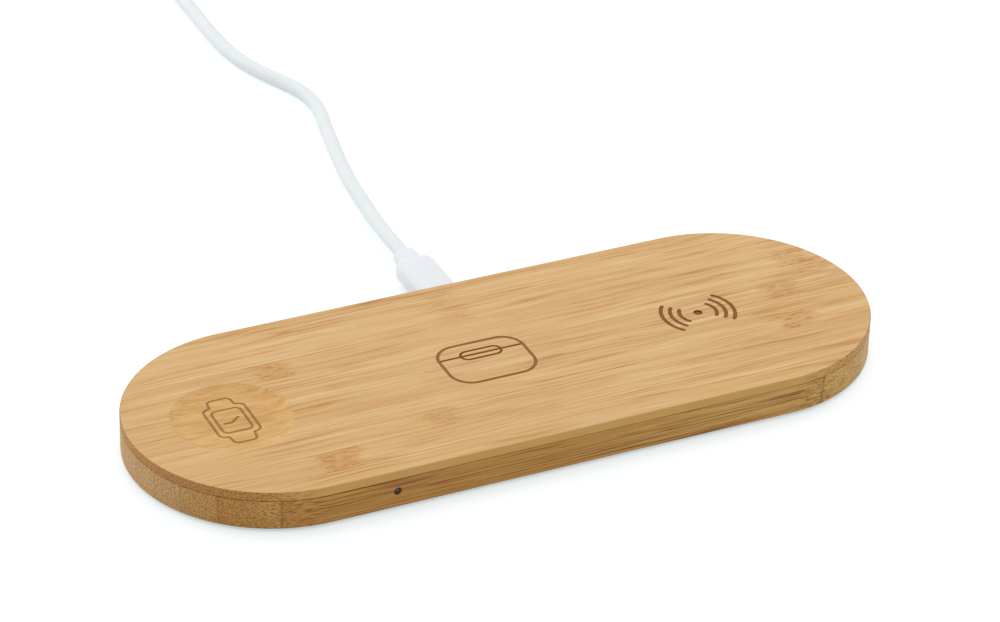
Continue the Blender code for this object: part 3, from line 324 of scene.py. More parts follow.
def hang_lamp(name, place, size, watts):
    """A square lamp that faces the pad."""
    bpy.ops.object.light_add(type="AREA", location=place)
    lamp = bpy.context.object
    lamp.name = name
    lamp.data.size = size
    lamp.data.energy = watts
    lamp.rotation_euler = Vector(place).to_track_quat("Z", "Y").to_euler()


light_room()
for name, (place, size, watts) in LAMPS.items():
    hang_lamp(name, place, size, watts)
print("lamps:", ", ".join(LAMPS), "over a floor of", FLOOR_SIZE, "m")

# %% [markdown]
# A charging cable is a fixed length of something flexible, so its line is settled before its skin.
# It leaves the plug straight, sinks to the desk within a few diameters, and wanders to the edge of
# the picture. The picture shows about 0.2 m of it. The rest of a metre-long cable is wound in two
# layers behind the view and held by a tie. A curve with a round bevel follows the whole line in one
# piece.

# %% The cable's line

CABLE_DIAMETER = 0.0045
PORT_X, PORT_Z = 0.0013, 0.0053
CABLE_EXIT = (PORT_X, 0.0738, PORT_Z)
CABLE_ROUTE = (
    (0.0015, 0.0819, 0.0051),
    (0.0020, 0.0895, 0.00445),
    (0.0031, 0.1006, 0.00345),
    (0.0045, 0.1121, 0.00275),
    (0.0056, 0.1227, 0.0024),
    (0.0066, 0.1302, 0.00235),
    (0.0078, 0.1373, 0.00235),
    (0.0092, 0.1449, 0.00235),
    (0.0109, 0.1533, 0.00235),
    (0.0125, 0.1612, 0.00235),
    (0.0143, 0.1689, 0.00235),
    (0.0154, 0.1765, 0.00235),
    (0.0151, 0.1835, 0.00235),
    (0.0136, 0.1895, 0.00235),
    (0.0112, 0.1955, 0.00235),
    (0.0083, 0.2020, 0.00235),
    (0.0056, 0.2095, 0.00235),
    (0.0036, 0.2180, 0.00235),
    (0.0026, 0.2280, 0.00235),
    (0.0024, 0.2400, 0.0024),
    (0.0025, 0.2540, 0.0026),
    (0.0025, 0.2690, 0.0030),
)
COIL_X, COIL_Y = 0.0341, 0.2965
COIL_MEAN_RADIUS, COIL_TURNS, COIL_PITCH = 0.0249, 5.25, 0.0051
COIL_OUTER_RADIUS = COIL_MEAN_RADIUS + COIL_PITCH * COIL_TURNS / 4
COIL_INNER_RADIUS = COIL_MEAN_RADIUS - COIL_PITCH * COIL_TURNS / 4
COIL_LOW_Z, COIL_LAYER_RISE = 0.00345, 0.005
COIL_HIGH_Z = COIL_LOW_Z + COIL_LAYER_RISE
COIL_TURN_STEPS = 48
TAIL_LENGTH, TAIL_SHIFT, TAIL_GAP = 0.021, 0.004, 0.0003
A_PLUG_Z = 0.0041
A_PLUG_Y = COIL_Y + COIL_OUTER_RADIUS - TAIL_SHIFT


def ease(share):
    """Runs from 0 to 1 with a level start and end."""
    share = min(max(share, 0), 1)
    return (1 - math.cos(math.pi * share)) / 2


def smooth_line(points, samples=6):
    """A Catmull-Rom curve through the points, as a finely broken line."""
    points = [Vector(point) for point in points]
    ends = [2 * points[0] - points[1], *points, 2 * points[-1] - points[-2]]
    line = []
    for a, b, c, d in zip(ends, ends[1:], ends[2:], ends[3:]):
        for i in range(samples):
            t = i / samples
            bend = (2 * a - 5 * b + 4 * c - d) * t**2 + (3 * b - a - 3 * c + d) * t**3
            line.append((2 * b + (c - a) * t + bend) / 2)
    return [*line, points[-1]]


def run_line():
    start_x, end_y = COIL_X - COIL_OUTER_RADIUS, COIL_Y - CABLE_DIAMETER
    end = [(start_x, end_y - CABLE_DIAMETER, COIL_LOW_Z), (start_x, end_y, COIL_LOW_Z)]
    return smooth_line([CABLE_EXIT, *CABLE_ROUTE, *end])


def coil_line():
    """In along the desk, up a layer where the spiral turns back, and out on top."""
    half = COIL_TURNS / 2
    for i in range(round(COIL_TURNS * COIL_TURN_STEPS) + 1):
        turns = i / COIL_TURN_STEPS
        angle = math.pi * (1 - 2 * turns)
        radius = COIL_INNER_RADIUS + COIL_PITCH * abs(turns - half)
        height = COIL_LOW_Z + COIL_LAYER_RISE * ease((turns - half) * 2 + 0.5)
        x, y = COIL_X + radius * math.cos(angle), COIL_Y + radius * math.sin(angle)
        yield Vector((x, y, height))


def tail_line(steps=16):
    """Down from the coil's top layer to the plug on the desk."""
    start = COIL_X + CABLE_DIAMETER + TAIL_GAP
    for i in range(steps + 1):
        share = i / steps
        y = A_PLUG_Y + TAIL_SHIFT * (1 - ease(share))
        z = COIL_HIGH_Z + (A_PLUG_Z - COIL_HIGH_Z) * ease(share)
        yield Vector((start + TAIL_LENGTH * share, y, z))


def line_length(line):
    return sum((b - a).length for a, b in zip(line, line[1:]))


cable_points = [*run_line(), *coil_line(), *tail_line()]
cable_length = round(line_length(cable_points), 3)
print("cable:", cable_length, "m from collar to collar")

# %% [markdown]
# The sheath is white thermoplastic, smooth but not glossy, with the faint unevenness of an extruded
# skin. The cable's whole length, its plugs and its tie are declared together as one cord.

# %% The cable

CABLE_RESOLUTION = 6


def tube(name, line, diameter, resolution):
    """A round cord along a line, with closed ends."""
    curve = bpy.data.curves.new(name, "CURVE")
    curve.dimensions = "3D"
    curve.bevel_depth = diameter / 2
    curve.bevel_resolution = resolution
    curve.use_fill_caps = True
    spline = curve.splines.new("POLY")
    spline.points.add(len(line) - 1)
    for point, place in zip(spline.points, line):
        point.co = (*place, 1)
    spline.use_smooth = True
    made = bpy.data.objects.new(name, curve)
    bpy.context.scene.collection.objects.link(made)
    return made


white_sheath = plain_finish(
    "white_sheath",
    clouds=(160, 3),
    colours=((226, 233, 234), (239, 242, 243)),
    shine=(0.36, 0.5),
    relief=(900, 0.00002, 0.35),
)
cable = tube("charging_cable", cable_points, CABLE_DIAMETER, CABLE_RESOLUTION)
cable.data.materials.append(white_sheath)
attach(cable, "cable")
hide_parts("cable_run", "cable_coil", "cable_tail")
print("cable:", len(cable_points), "points")

# %% [markdown]
# Pressed bamboo is glued from split canes. A strip shows long soft streaks of yellow and tan, fine
# fibres, thin grain lines that run on for centimetres, dark vessel bundles that look like short
# pencil strokes along the strip and like dots on its end grain, and now and then a knuckle, where
# the cane had a joint: a speckled brown patch across the strip, ragged at its ends. All of it runs
# through the thickness of the wood, so the pattern is made in three dimensions from Object
# coordinates, and the same net gives the right picture on the top, on the edge and in the engraved
# lines. Lengths in it are in millimetres.

# %% Bamboo, the parts of the pattern

PANEL_HALF_WIDTH = 42.5
STRAIGHT_HALF_LENGTH = 70.5
# A ramp holds numbers from 0 to 1, so a knuckle's place is kept as a share of this length.
KNUCKLE_SCALE = 240
KNUCKLE_CORE, KNUCKLE_REACH, KNUCKLE_SWAY, KNUCKLE_FRAY = 2.5, 8.5, 11.0, 6.0
VESSEL_SWAY_SIDEWAYS, VESSEL_SWAY_UPWARDS = 1.6, 2.4
# Seeds shift a strip's noise by so many steps, so that no two strips are alike.
SEED_ALONG, SEED_ACROSS, SEED_UP = 31, 13, 17
# Each strip of the panel: front edge, tone, seed, first knuckle's place and strength, second one's.
PANEL_STRIPS = (
    (-42.5, 0.42, 0.11, 0, 0.0, 0, 0.0),
    (-36.2, 0.50, 0.57, -63, 0.95, 0, 0.0),
    (-27.2, 0.40, 0.29, -30, 0.4, 4, 0.2),
    (-18.4, 0.60, 0.83, 86, 0.6, 0, 0.0),
    (-10.5, 0.28, 0.41, 0, 0.0, 0, 0.0),
    (-1.5, 0.48, 0.97, 90, 0.5, 0, 0.0),
    (6.5, 0.66, 0.19, 104, 0.4, 0, 0.0),
    (13.5, 0.45, 0.71, -64, 0.6, 102, 0.5),
    (21.6, 0.70, 0.36, -4, 0.35, 0, 0.0),
    (29.7, 0.62, 0.89, -4, 0.3, 0, 0.0),
    (38.8, 0.34, 0.05, -69, 0.3, 84, 0.3),
)


def strip_stops(channels):
    """Ramp stops over the panel's width, one a strip, with three of its numbers as a colour."""
    width = 2 * PANEL_HALF_WIDTH
    return [((s[0] + PANEL_HALF_WIDTH) / width, (*channels(s), 1)) for s in PANEL_STRIPS]


def knuckle_mask(net, along, across, position, which):
    """Where a strip's first or second knuckle lies: its strength in the middle, 0 some 8 mm off."""
    stops = strip_stops(lambda s: (s[which] / KNUCKLE_SCALE + 0.5, s[which + 1], 0))
    place, strength, _ = net.bands(position, stops)
    middle = (place - 0.5) * KNUCKLE_SCALE
    slow = net.noise(net.join(along * 0.05, across * 0.3), detail=1)
    quick = net.noise(net.join(along * 0.12, across), 1.6)
    ragged = (slow - 0.5) * KNUCKLE_SWAY + (quick - 0.5) * KNUCKLE_FRAY
    return abs(along - middle + ragged).step(KNUCKLE_CORE, KNUCKLE_REACH, 1.0, 0.0) * strength


def vessels(net, grid, seed, pitch, thick):
    """Vessel bundles: round dots in a cross section that wander a little along the strip."""
    along, across, up = grid
    wander = net.split(net.noise(net.join(along * 0.022, seed), output="Color"))
    y = across / pitch + wander[0] * VESSEL_SWAY_SIDEWAYS
    z = up / pitch + wander[1] * VESSEL_SWAY_UPWARDS + seed * SEED_UP
    return net.cells(net.join(y, z), "2D").step(thick * 0.45, thick, 1.0, 0.0)


def fibres(net, grid, seed, length, width, detail=3):
    """Noise drawn out along the strip: streaks so many millimetres long and wide."""
    along, across, up = grid
    place = (along / length + seed * SEED_ALONG, across / width + seed * SEED_ACROSS, up / width)
    return net.noise(net.join(*place), 1.0, detail, 0.55)


def grain_lines(net, grid, seed, length, width, half):
    """Thin long lines, where drawn-out noise passes through its middle value."""
    slope = fibres(net, grid, seed, length, width, 1) - 0.5
    return abs(slope).step(half * 0.3, half, 1.0, 0.0)


def outline_reach(net, along, across):
    """How far a place is from the board's long middle line, and how much of that is along X."""
    beyond = net.sum("MAXIMUM", abs(along) - STRAIGHT_HALF_LENGTH, 0.0)
    way = net.join(beyond, across)
    reach = net.add("ShaderNodeVectorMath", way, operation="LENGTH", output="Value")
    return reach, beyond / reach


print("strips across the panel:", len(PANEL_STRIPS))

# %% [markdown]
# The panel's strips differ a little in tone, and each one starts its fibres at a place of its own,
# so no streak crosses a glue line. A ramp over the width holds these numbers, and a second look at
# the ramp a hair to each side finds the glue lines themselves. Streaks and grain lines are strong
# in some stretches and nearly gone in others. Below its sanded face the panel is a more orange
# wood, as the dish shows, and its sawn edge drinks more oil and is darker, most of all across the
# fibres. burn mixes in the brown of a laser's scorch, for the engraved lines.

# %% Bamboo for the panel

# Heights, and ways from the board's middle line, where the panel's wood changes.
SKIN, UNDER_SKIN, SAWN_EDGE = (12.58, 12.63), (12.25, 12.6), (42.2, 42.4)
GLUE_HALF = 0.12
# Streaks: how the seed is shifted, then their length, width and detail.
PANEL_STREAKS = {
    "cream": (0.0, 80, 4.4, 2),
    "tan": (0.37, 60, 2.0, 3),
    "middle": (0.0, 38, 0.6, 3),
    "fine": (0.0, 12, 0.26, 2),
    "flame": (0.5, 9, 2.0, 3),
}
# Grain lines: how the seed is shifted, the noise's length and width, half a line's share of it.
WIDE_LINES, NARROW_LINES = (0.63, 150, 2.6, 0.03), (0.17, 100, 1.2, 0.045)


def knuckle_coats(net, grid, knuckle, glue):
    """A knuckle: an orange patch, short dark flecks, light ones, and dark glue lines beside it."""
    along, across, up = grid
    place = net.join(along * 0.17, across, up)
    speckle = net.noise(place, 2.1, 3, 0.6)
    heart = net.mix(net.noise(place, 0.8), paint(211, 157, 86), paint(193, 134, 66))
    return (
        (knuckle.step(0.05, 0.95, 0, 0.7), heart),
        (knuckle.step(0.05, 0.6) * speckle.step(0.5, 0.66) * 0.65, paint(160, 98, 40)),
        (knuckle.step(0.3, 0.7) * speckle.step(0.44, 0.32) * 0.5, paint(230, 190, 130)),
        (knuckle.step(0.1, 0.5) * glue * 0.7, paint(132, 80, 38)),
    )


def panel_strips(net, along, across):
    """The tone and seed of the strip at each place, its knuckles and the glue lines beside it."""
    position = across.share(-PANEL_HALF_WIDTH, PANEL_HALF_WIDTH)
    tones = strip_stops(lambda s: (s[1], s[2], 0))
    tone, seed, _ = net.bands(position, tones)
    masks = [knuckle_mask(net, along, across, position, which) for which in (3, 5)]
    nudge = GLUE_HALF / (2 * PANEL_HALF_WIDTH)
    left, right = (net.bands(place, tones)[1] for place in (position - nudge, position + nudge))
    return tone, seed, net.sum("MAXIMUM", *masks), abs(left - right) > 0.01


def panel_pattern(name, burn=0.0):
    """The panel's wood, and with burn the same wood under a scorch."""
    net = Net(name, Specular_IOR_Level=0.3 - 0.2 * burn)
    grid = along, across, up = net.millimetres()
    wave = net.noise(net.join(along * 0.03, across * 0.05), detail=1)
    bent = (along, across + (wave - 0.5) * 3.0, up)
    tone, seed, knuckle, glue = panel_strips(net, along, across)
    cream, tan, middle, fine, flame = (
        fibres(net, bent, seed + shift, *sizes) for shift, *sizes in PANEL_STREAKS.values()
    )
    where = net.noise(net.join(along / 30, across / 6, seed))
    strong = where.step(0.4, 0.64, 0.2, 1.0)
    dashes = vessels(net, grid, seed, 1.05, 0.2) * strong * up.step(*SKIN, 0.3, 1.0)
    wide, narrow = (
        grain_lines(net, bent, seed + shift, *sizes) for shift, *sizes in (WIDE_LINES, NARROW_LINES)
    )
    lines = (wide * 0.6 + narrow * 0.38) * where.step(0.35, 0.62, 0.3, 1.0)
    orange = net.mix(flame.step(0.32, 0.66), paint(230, 182, 108), paint(202, 148, 76))
    reach, end = outline_reach(net, along, across)
    sawn, end = reach.step(*SAWN_EDGE), end.step(0.02, 0.55)
    # The oiled edge is darker where it cuts across the fibres, which is the wood's own colour, and
    # this is made stronger at the left end than at the right: painted shade there.
    oil_and_left_shade = end * along.step(-90, 80, 0.9, 0.2)
    oiled_edge_and_shade = net.mix(oil_and_left_shade, paint(204, 160, 88), paint(172, 114, 50))
    pores = sawn * vessels(net, grid, seed + 0.2, 0.6, 0.34) * end.step(0, 1, 0.3, 0.85)
    seam = glue * middle.step(0.35, 0.6, 0.1, 0.6) * sawn.step(0, 1, 1, 0.2)
    # Each coat: its share of the colour and its paint. Pale streaks come first, then brown ones.
    colour = net.coats(
        net.mix(tone, paint(212, 168, 107), paint(227, 188, 133)),
        (cream.step(0.45, 0.7, 0, 0.5), paint(232, 201, 150)),
        (tan.step(0.46, 0.74, 0, 0.42), paint(205, 154, 92)),
        (middle.step(0.28, 0.48, 0.45, 0), paint(235, 204, 150)),
        (middle.step(0.52, 0.72) * strong * 0.42, paint(190, 134, 70)),
        (fine.step(0.42, 0.78, 0, 0.3), paint(192, 138, 76)),
        (dashes * 0.4, paint(160, 104, 50)),
        (lines, paint(188, 130, 66)),
        (up.step(*UNDER_SKIN, 0.58, 0), orange),
        *knuckle_coats(net, grid, knuckle, glue),
        (sawn * 0.8, oiled_edge_and_shade),
        (pores, paint(116, 68, 30)),
        (seam, paint(186, 122, 54)),
        (burn, paint(124, 70, 24)),
    )
    return net.finish(colour, fine.step(0.2, 0.8, 0.5, 0.66), fine - dashes * 0.6, 0.00004, 0.1)


panel_bamboo = panel_pattern("panel_bamboo")
print("panel nodes:", len(panel_bamboo.node_tree.nodes))

# %% [markdown]
# The base is pressed the other way: its blocks stand on edge, and each block is dense and dark on
# the side that was the cane's outside. The round ends of the board cut across the fibres, so there
# the vessels show as dots, and along the front they show as long dark strokes on a yellow ground.
# The board was cut out at a slight angle to its blocks, so the first glue line reaches further at
# one end. The wood is paler towards the right end.

# %% Bamboo for the base

BLOCK_PITCH = 8.85
BLOCK_START = -40.7
BLOCK_SKEW = 0.0061


def base_pattern(name):
    """Blocks on edge: each has a number, and share runs from 0 to 1 through its thickness."""
    net = Net(name, Specular_IOR_Level=0.3)
    grid = along, across, _ = net.millimetres()
    blocks = (across + along * BLOCK_SKEW - BLOCK_START) / BLOCK_PITCH
    block = net.sum("FLOOR", blocks)
    share = blocks - block
    seed = net.add("ShaderNodeTexWhiteNoise", None, block, noise_dimensions="1D")
    edge = net.sum("MINIMUM", share, net.sum("SUBTRACT", 1.0, share))
    _, end = outline_reach(net, along, across)
    end = end.step(0.15, 0.6)
    streaks = fibres(net, grid, seed + 0.4, 46, 1.5, 2)
    middle = fibres(net, grid, seed, 30, 0.5)
    fine = fibres(net, grid, seed, 10, 0.3, 2)
    dots = vessels(net, grid, seed, 0.62, 0.34)
    # A painted sheen: the tips of both round ends are paler, as if they reflected the white room.
    painted_end_sheen = net.sum("MAXIMUM", along.step(-113, -97, 0.4, 0), along.step(84, 112, 0, 0.4))
    spots = dots * end.step(0, 1, 0.45, 0.8) * along.step(60, 100, 1.0, 0.7)
    colour = net.coats(
        net.mix(share, paint(208, 164, 92), paint(194, 142, 70)),
        (seed * 0.3, paint(200, 148, 78)),
        (along.step(-40, 96, 0, 0.5), paint(240, 202, 126)),
        # Painted shade: the left round end is darkened in colour.
        (end * along.step(-90, 0, 0.2, 0), paint(170, 114, 52)),
        (streaks.step(0.42, 0.7, 0, 0.5), paint(176, 118, 52)),
        (middle.step(0.5, 0.66) * end.step(0, 1, 0.85, 0.2), paint(138, 82, 28)),
        (fine.step(0.4, 0.78, 0, 0.3), paint(146, 96, 46)),
        (end * painted_end_sheen, paint(222, 192, 146)),
        (spots, paint(112, 68, 30)),
        (edge.step(0.008, 0.018, 0.42, 0), paint(122, 80, 38)),
    )
    return net.finish(colour, fine.step(0.2, 0.8, 0.5, 0.68), fine - dots * 0.8, 0.00005, 0.5)


base_bamboo = base_pattern("base_bamboo")
print("base nodes:", len(base_bamboo.node_tree.nodes))

# %% [markdown]
# Pieces are shaped the way one works by hand: add a primitive, enter edit mode, select some
# vertices, edges or faces, and move, bevel, inset or extrude them. In code, a selection is a test
# on each element's place or direction. Cutting one shape out of another is a Boolean modifier,
# applied at once.

# %% Helpers for shapes

NEAR = 0.000001
X, Y, Z = range(3)
# How much of a face's direction has to lie along an axis for the face to look that way.
FACING = 0.99
# Sides of round pieces, from small to large.
COARSE_SIDES, HOLE_SIDES, FINE_SIDES, FOOT_SIDES, DISC_SIDES, BOARD_SIDES = 46, 48, 62, 64, 96, 198


def choose(piece):
    """Makes a piece the only selected and active one."""
    bpy.ops.object.select_all(action="DESELECT")
    piece.select_set(True)
    bpy.context.view_layer.objects.active = piece


def settle(piece):
    """Puts a piece's place and turn into its mesh."""
    choose(piece)
    bpy.ops.object.transform_apply(location=True, rotation=True, scale=True)
    return piece


def started(name):
    """Names the new primitive and puts its place into its mesh."""
    piece = bpy.context.object
    piece.name = piece.data.name = name
    return settle(piece)


def pick(kind, test):
    """In edit mode, selects the VERT, EDGE or FACE elements that pass a test."""
    bpy.ops.mesh.select_mode(type=kind)
    bpy.ops.mesh.select_all(action="DESELECT")
    mesh = bpy.context.object.data
    shape = bmesh.from_edit_mesh(mesh)
    items = {"VERT": shape.verts, "EDGE": shape.edges, "FACE": shape.faces}[kind]
    for item in items:
        if test(item):
            item.select_set(True)
    shape.select_flush_mode()
    bmesh.update_edit_mesh(mesh)


class Editing:
    """Edit mode for one piece, as long as the lines under a with last."""

    def __init__(self, piece):
        self.piece = piece

    def __enter__(self):
        choose(self.piece)
        bpy.ops.object.mode_set(mode="EDIT")

    def __exit__(self, *error):
        bpy.ops.object.mode_set(mode="OBJECT")


def edge_at(axis, value):
    """A test for edges that lie wholly in the plane where one coordinate has a value."""
    return lambda edge: all(abs(vert.co[axis] - value) < NEAR for vert in edge.verts)


def edge_along(axis):
    """A test for edges that don't keep one coordinate."""
    return lambda edge: abs(edge.verts[0].co[axis] - edge.verts[1].co[axis]) > NEAR


def bevel_where(piece, test, width, segments):
    with Editing(piece):
        pick("EDGE", test)
        bpy.ops.mesh.bevel(offset=width, segments=segments, affect="EDGES")


def box(name, low, high):
    """A cube primitive between two corners."""
    low, high = Vector(low), Vector(high)
    bpy.ops.mesh.primitive_cube_add(size=1, location=(low + high) / 2, scale=high - low)
    return started(name)


def on_line(axis, value, centre):
    """The place with a value along an axis, and a centre's two numbers along the others."""
    place = list(centre)
    place.insert(axis, value)
    return place


def box_about(name, axis, ends, centre, half):
    """A box between two ends of an axis, with its sides half a width and height from a centre."""
    low, high = ([c + side * h for c, h in zip(centre, half)] for side in (-1, 1))
    return box(name, on_line(axis, ends[0], low), on_line(axis, ends[1], high))


def soft_block(name, axis, ends, centre, half, rounding, rims=(0, 0), segments=8):
    """Such a box with its edges along the axis strongly rounded, and the rims of its ends less."""
    piece = box_about(name, axis, ends, centre, half)
    bevel_where(piece, edge_along(axis), rounding, segments)
    for value, width in zip(ends, rims):
        if width:
            bevel_where(piece, edge_at(axis, value), width, 6)
    return piece


def hollow_out(piece, axis, wall):
    """Takes away a block's two end faces, and makes its sides a wall."""
    with Editing(piece):
        pick("FACE", lambda face: abs(face.normal[axis]) > FACING)
        bpy.ops.mesh.delete(type="FACE")
    finish_with(piece, "SOLIDIFY", thickness=wall, offset=-1)


def disc(name, radius, low, high, at=(0, 0), sides=DISC_SIDES):
    """A cylinder primitive that stands between two heights."""
    bpy.ops.mesh.primitive_cylinder_add(
        vertices=sides, radius=radius, depth=high - low, location=(*at, (low + high) / 2)
    )
    return started(name)


def long_round(name, length, width, low, high, sides=BOARD_SIDES):
    """A board with round ends: a cylinder whose two halves are pulled apart along X.

    It starts half a step round, so that no vertex lies on the line between the halves.
    """
    bpy.ops.mesh.primitive_cylinder_add(
        vertices=sides,
        radius=width / 2,
        depth=high - low,
        location=(0, 0, (low + high) / 2),
        rotation=(0, 0, math.pi / sides),
    )
    piece = started(name)
    with Editing(piece):
        for side in (-1, 1):
            pick("VERT", lambda vert, side=side: vert.co.x * side > 0)
            bpy.ops.transform.translate(value=(side * (length - width) / 2, 0, 0))
        bpy.ops.mesh.select_all(action="SELECT")
        stretch = (1, 1 / math.cos(math.pi / sides), 1)
        bpy.ops.transform.resize(value=stretch, center_override=(0, 0, 0))
    return piece


def stand_up(piece, x, y, z, turn=math.pi / 2):
    """Turns a flat shape round X so that it faces along Y, and puts it in its place."""
    piece.rotation_euler = (turn, 0, 0)
    piece.location = (x, y, z)
    return settle(piece)


def finish_with(piece, kind, **settings):
    """Adds a modifier and applies it."""
    modifier = piece.modifiers.new("step", kind)
    for setting, value in settings.items():
        setattr(modifier, setting, value)
    bpy.context.view_layer.objects.active = piece
    bpy.ops.object.modifier_apply(modifier=modifier.name)


def carve(piece, cutter, operation="DIFFERENCE", bent=False):
    """Cuts a shape out of a piece, and throws the cutter away. A bent one may touch itself."""
    settings = {"operation": operation, "solver": "EXACT", "object": cutter, "use_self": bent}
    finish_with(piece, "BOOLEAN", material_mode="TRANSFER", **settings)
    bpy.data.objects.remove(cutter)


def done(piece, body, slot, material, *nodes, angle=35):
    """Smooths a finished piece, gives it its finish, and says what it stands for."""
    choose(piece)
    bpy.ops.object.shade_smooth_by_angle(angle=math.radians(angle))
    if not any(piece.data.materials):
        piece.data.materials.clear()
        piece.data.materials.append(material)
    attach(piece, body)
    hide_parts(*nodes)
    print(piece.name, "stands for", ", ".join(nodes), "-", len(piece.data.polygons), "faces")


print("helpers for shapes are ready")

# %% [markdown]
# The base starts as a board with round ends. A router would mill it from above: a round pocket for
# each coil, a pocket for the circuit board, and channels for the coils' leads. Then the rear slot
# for the socket, the light hole in the front edge and four shallow bores for the feet are drilled.

# %% The bamboo base

PAD_LENGTH, PAD_WIDTH = 0.226, 0.085
WOOD_LOW, BASE_TOP = 0.0008, 0.0098
EDGE_ROUND, SEAM_ROUND = 0.0006, 0.0001
OVERRUN = 0.001
REAR_Y = PAD_WIDTH / 2
WATCH_X, EARBUD_X, PHONE_X = -0.0828, -0.0054, 0.0618
SHELF_Z, BOARD_FLOOR_Z, CHANNEL_FLOOR_Z = 0.0066, 0.0030, 0.00705
# A coil place: x, inner radius, turns, ferrite radius, side of its leads, x of the board's arm.
COIL_PLACES = {
    "phone": (PHONE_X, 0.0104, 6.5, 0.025, -1, 0.03),
    "earbud": (EARBUD_X, 0.008, 5.5, 0.02, -1, -0.0422),
    "watch": (WATCH_X, 0.0056, 4.5, 0.0155, 1, -0.0602),
}
WIRE_PITCH, WIRE_DIAMETER = 0.00175, 0.001
POCKET_MARGIN = 0.0005
CHANNEL_HALF = 0.0015
BOARD_POCKETS = (
    ((-0.0607, -0.0395), (-0.0417, 0.0395)),
    ((-0.0607, 0.0235), (0.0305, 0.0395)),
    ((0.018, -0.0144), (0.0305, 0.0395)),
)
LIGHT_X, LIGHT_Z, LIGHT_HOLE_RADIUS = -0.0512, 0.0060, 0.0012
FOOT_PLACES = {
    "foot_front_left": (-0.084, -0.024),
    "foot_front_right": (0.084, -0.024),
    "foot_rear_left": (-0.084, 0.024),
    "foot_rear_right": (0.084, 0.024),
}
FOOT_BORE_RADIUS, FOOT_BORE_TOP = 0.0054, 0.0015
# The socket's slot and the light hole: the slot's size, and where both start, end and lie.
SLOT_SIZE, SLOT_DEPTH, HOLE_DEPTH = (0.00954, 0.00376), (-0.003, 0.003), (-0.003, 0.003)
SLOT_Y, HOLE_Y = REAR_Y - 0.001, 0.0015 - REAR_Y

base = long_round("bamboo_base", PAD_LENGTH, PAD_WIDTH, WOOD_LOW, BASE_TOP)
bevel_where(base, edge_at(Z, WOOD_LOW), EDGE_ROUND, 4)
bevel_where(base, edge_at(Z, BASE_TOP), SEAM_ROUND, 2)
print("base:", len(base.data.vertices), "vertices before milling")

# %% Milling the base


def mill_coil_places():
    above = BASE_TOP + OVERRUN
    for x, inner, turns, ferrite, side, arm in COIL_PLACES.values():
        carve(base, disc("pocket", ferrite + POCKET_MARGIN, SHELF_Z, above, (x, 0)))
        for row in (side * inner, -side * (inner + turns * WIRE_PITCH)):
            low = (min(x, arm), row - CHANNEL_HALF, CHANNEL_FLOOR_Z)
            carve(base, box("channel", low, (max(x, arm), row + CHANNEL_HALF, above)))


def mill_board_place():
    for (left, front), (right, rear) in BOARD_POCKETS:
        low, high = (left, front, BOARD_FLOOR_Z), (right, rear, BASE_TOP + OVERRUN)
        carve(base, box("board_pocket", low, high))


def drill_edges_and_feet():
    slot = long_round("slot", *SLOT_SIZE, *SLOT_DEPTH, COARSE_SIDES)
    carve(base, stand_up(slot, PORT_X, SLOT_Y, PORT_Z))
    hole = disc("hole", LIGHT_HOLE_RADIUS, *HOLE_DEPTH, sides=HOLE_SIDES)
    carve(base, stand_up(hole, LIGHT_X, HOLE_Y, LIGHT_Z))
    for place in FOOT_PLACES.values():
        low = WOOD_LOW - OVERRUN
        carve(base, disc("bore", FOOT_BORE_RADIUS, low, FOOT_BORE_TOP, place, FOOT_SIDES))


mill_coil_places()
mill_board_place()
drill_edges_and_feet()
done(base, "charger", "bamboo_base", base_bamboo, "base_body")

# %% [markdown]
# The panel closes the base from above. Its upper rim is rounded a little by sanding. The watch lies
# in a shallow dish: a flat floor in a cove that rises to the rim, built as a cutter from a circle
# that is extruded upwards and widened step by step, with a last small step outwards, so that the
# rim isn't sharp.

# %% The bamboo panel

PANEL_LOW, PAD_TOP = 0.00996, 0.01265
RIM_EDGE_ROUND = 0.0003
DISH_RADIUS, DISH_FLOOR_RADIUS, DISH_DEPTH = 0.0173, 0.0135, 0.00115
COVE_RADIUS = ((DISH_RADIUS - DISH_FLOOR_RADIUS) ** 2 + DISH_DEPTH**2) / (2 * DISH_DEPTH)
DISH_FLOOR_Z = PAD_TOP - DISH_DEPTH
# The cove stops a little before the rim. The rim's last step goes this far out and this far up.
COVE_SHARE, RIM_STEP_OUT, RIM_STEP_UP = 0.97, 0.0002, 0.00002

panel = long_round("bamboo_panel", PAD_LENGTH, PAD_WIDTH, PANEL_LOW, PAD_TOP)
bevel_where(panel, edge_at(Z, PAD_TOP), RIM_EDGE_ROUND, 5)
bevel_where(panel, edge_at(Z, PANEL_LOW), SEAM_ROUND, 2)
panel.data.materials.append(panel_bamboo)


def grow(rise, old_radius, new_radius, centre):
    """Extrudes the selected face upwards and widens it about the centre."""
    bpy.ops.mesh.extrude_region_move(TRANSFORM_OT_translate={"value": (0, 0, rise)})
    share = new_radius / old_radius
    bpy.ops.transform.resize(value=(share, share, 1), center_override=centre)


def dish_cutter(steps=8):
    centre = (WATCH_X, 0, DISH_FLOOR_Z)
    bpy.ops.mesh.primitive_circle_add(
        vertices=120, radius=DISH_FLOOR_RADIUS, location=centre, fill_type="NGON"
    )
    cutter = started("dish_cutter")
    sweep = math.asin((DISH_RADIUS - DISH_FLOOR_RADIUS) / COVE_RADIUS)
    with Editing(cutter):
        bpy.ops.mesh.select_all(action="SELECT")
        cove = []
        for i in range(1, steps + 1):
            angle = sweep * i / steps * COVE_SHARE
            wider = DISH_FLOOR_RADIUS + COVE_RADIUS * math.sin(angle)
            cove.append((wider, COVE_RADIUS * (1 - math.cos(angle))))
        rim = (DISH_RADIUS, DISH_DEPTH - RIM_STEP_UP), (DISH_RADIUS + RIM_STEP_OUT, DISH_DEPTH)
        radius, height = DISH_FLOOR_RADIUS, 0
        for wider, higher in (*cove, *rim):
            grow(higher - height, radius, wider, centre)
            radius, height = wider, higher
        grow(OVERRUN, radius, radius, centre)
        bpy.ops.mesh.select_all(action="SELECT")
        bpy.ops.mesh.normals_make_consistent(inside=False)
    cutter.data.materials.append(panel_bamboo)
    return cutter


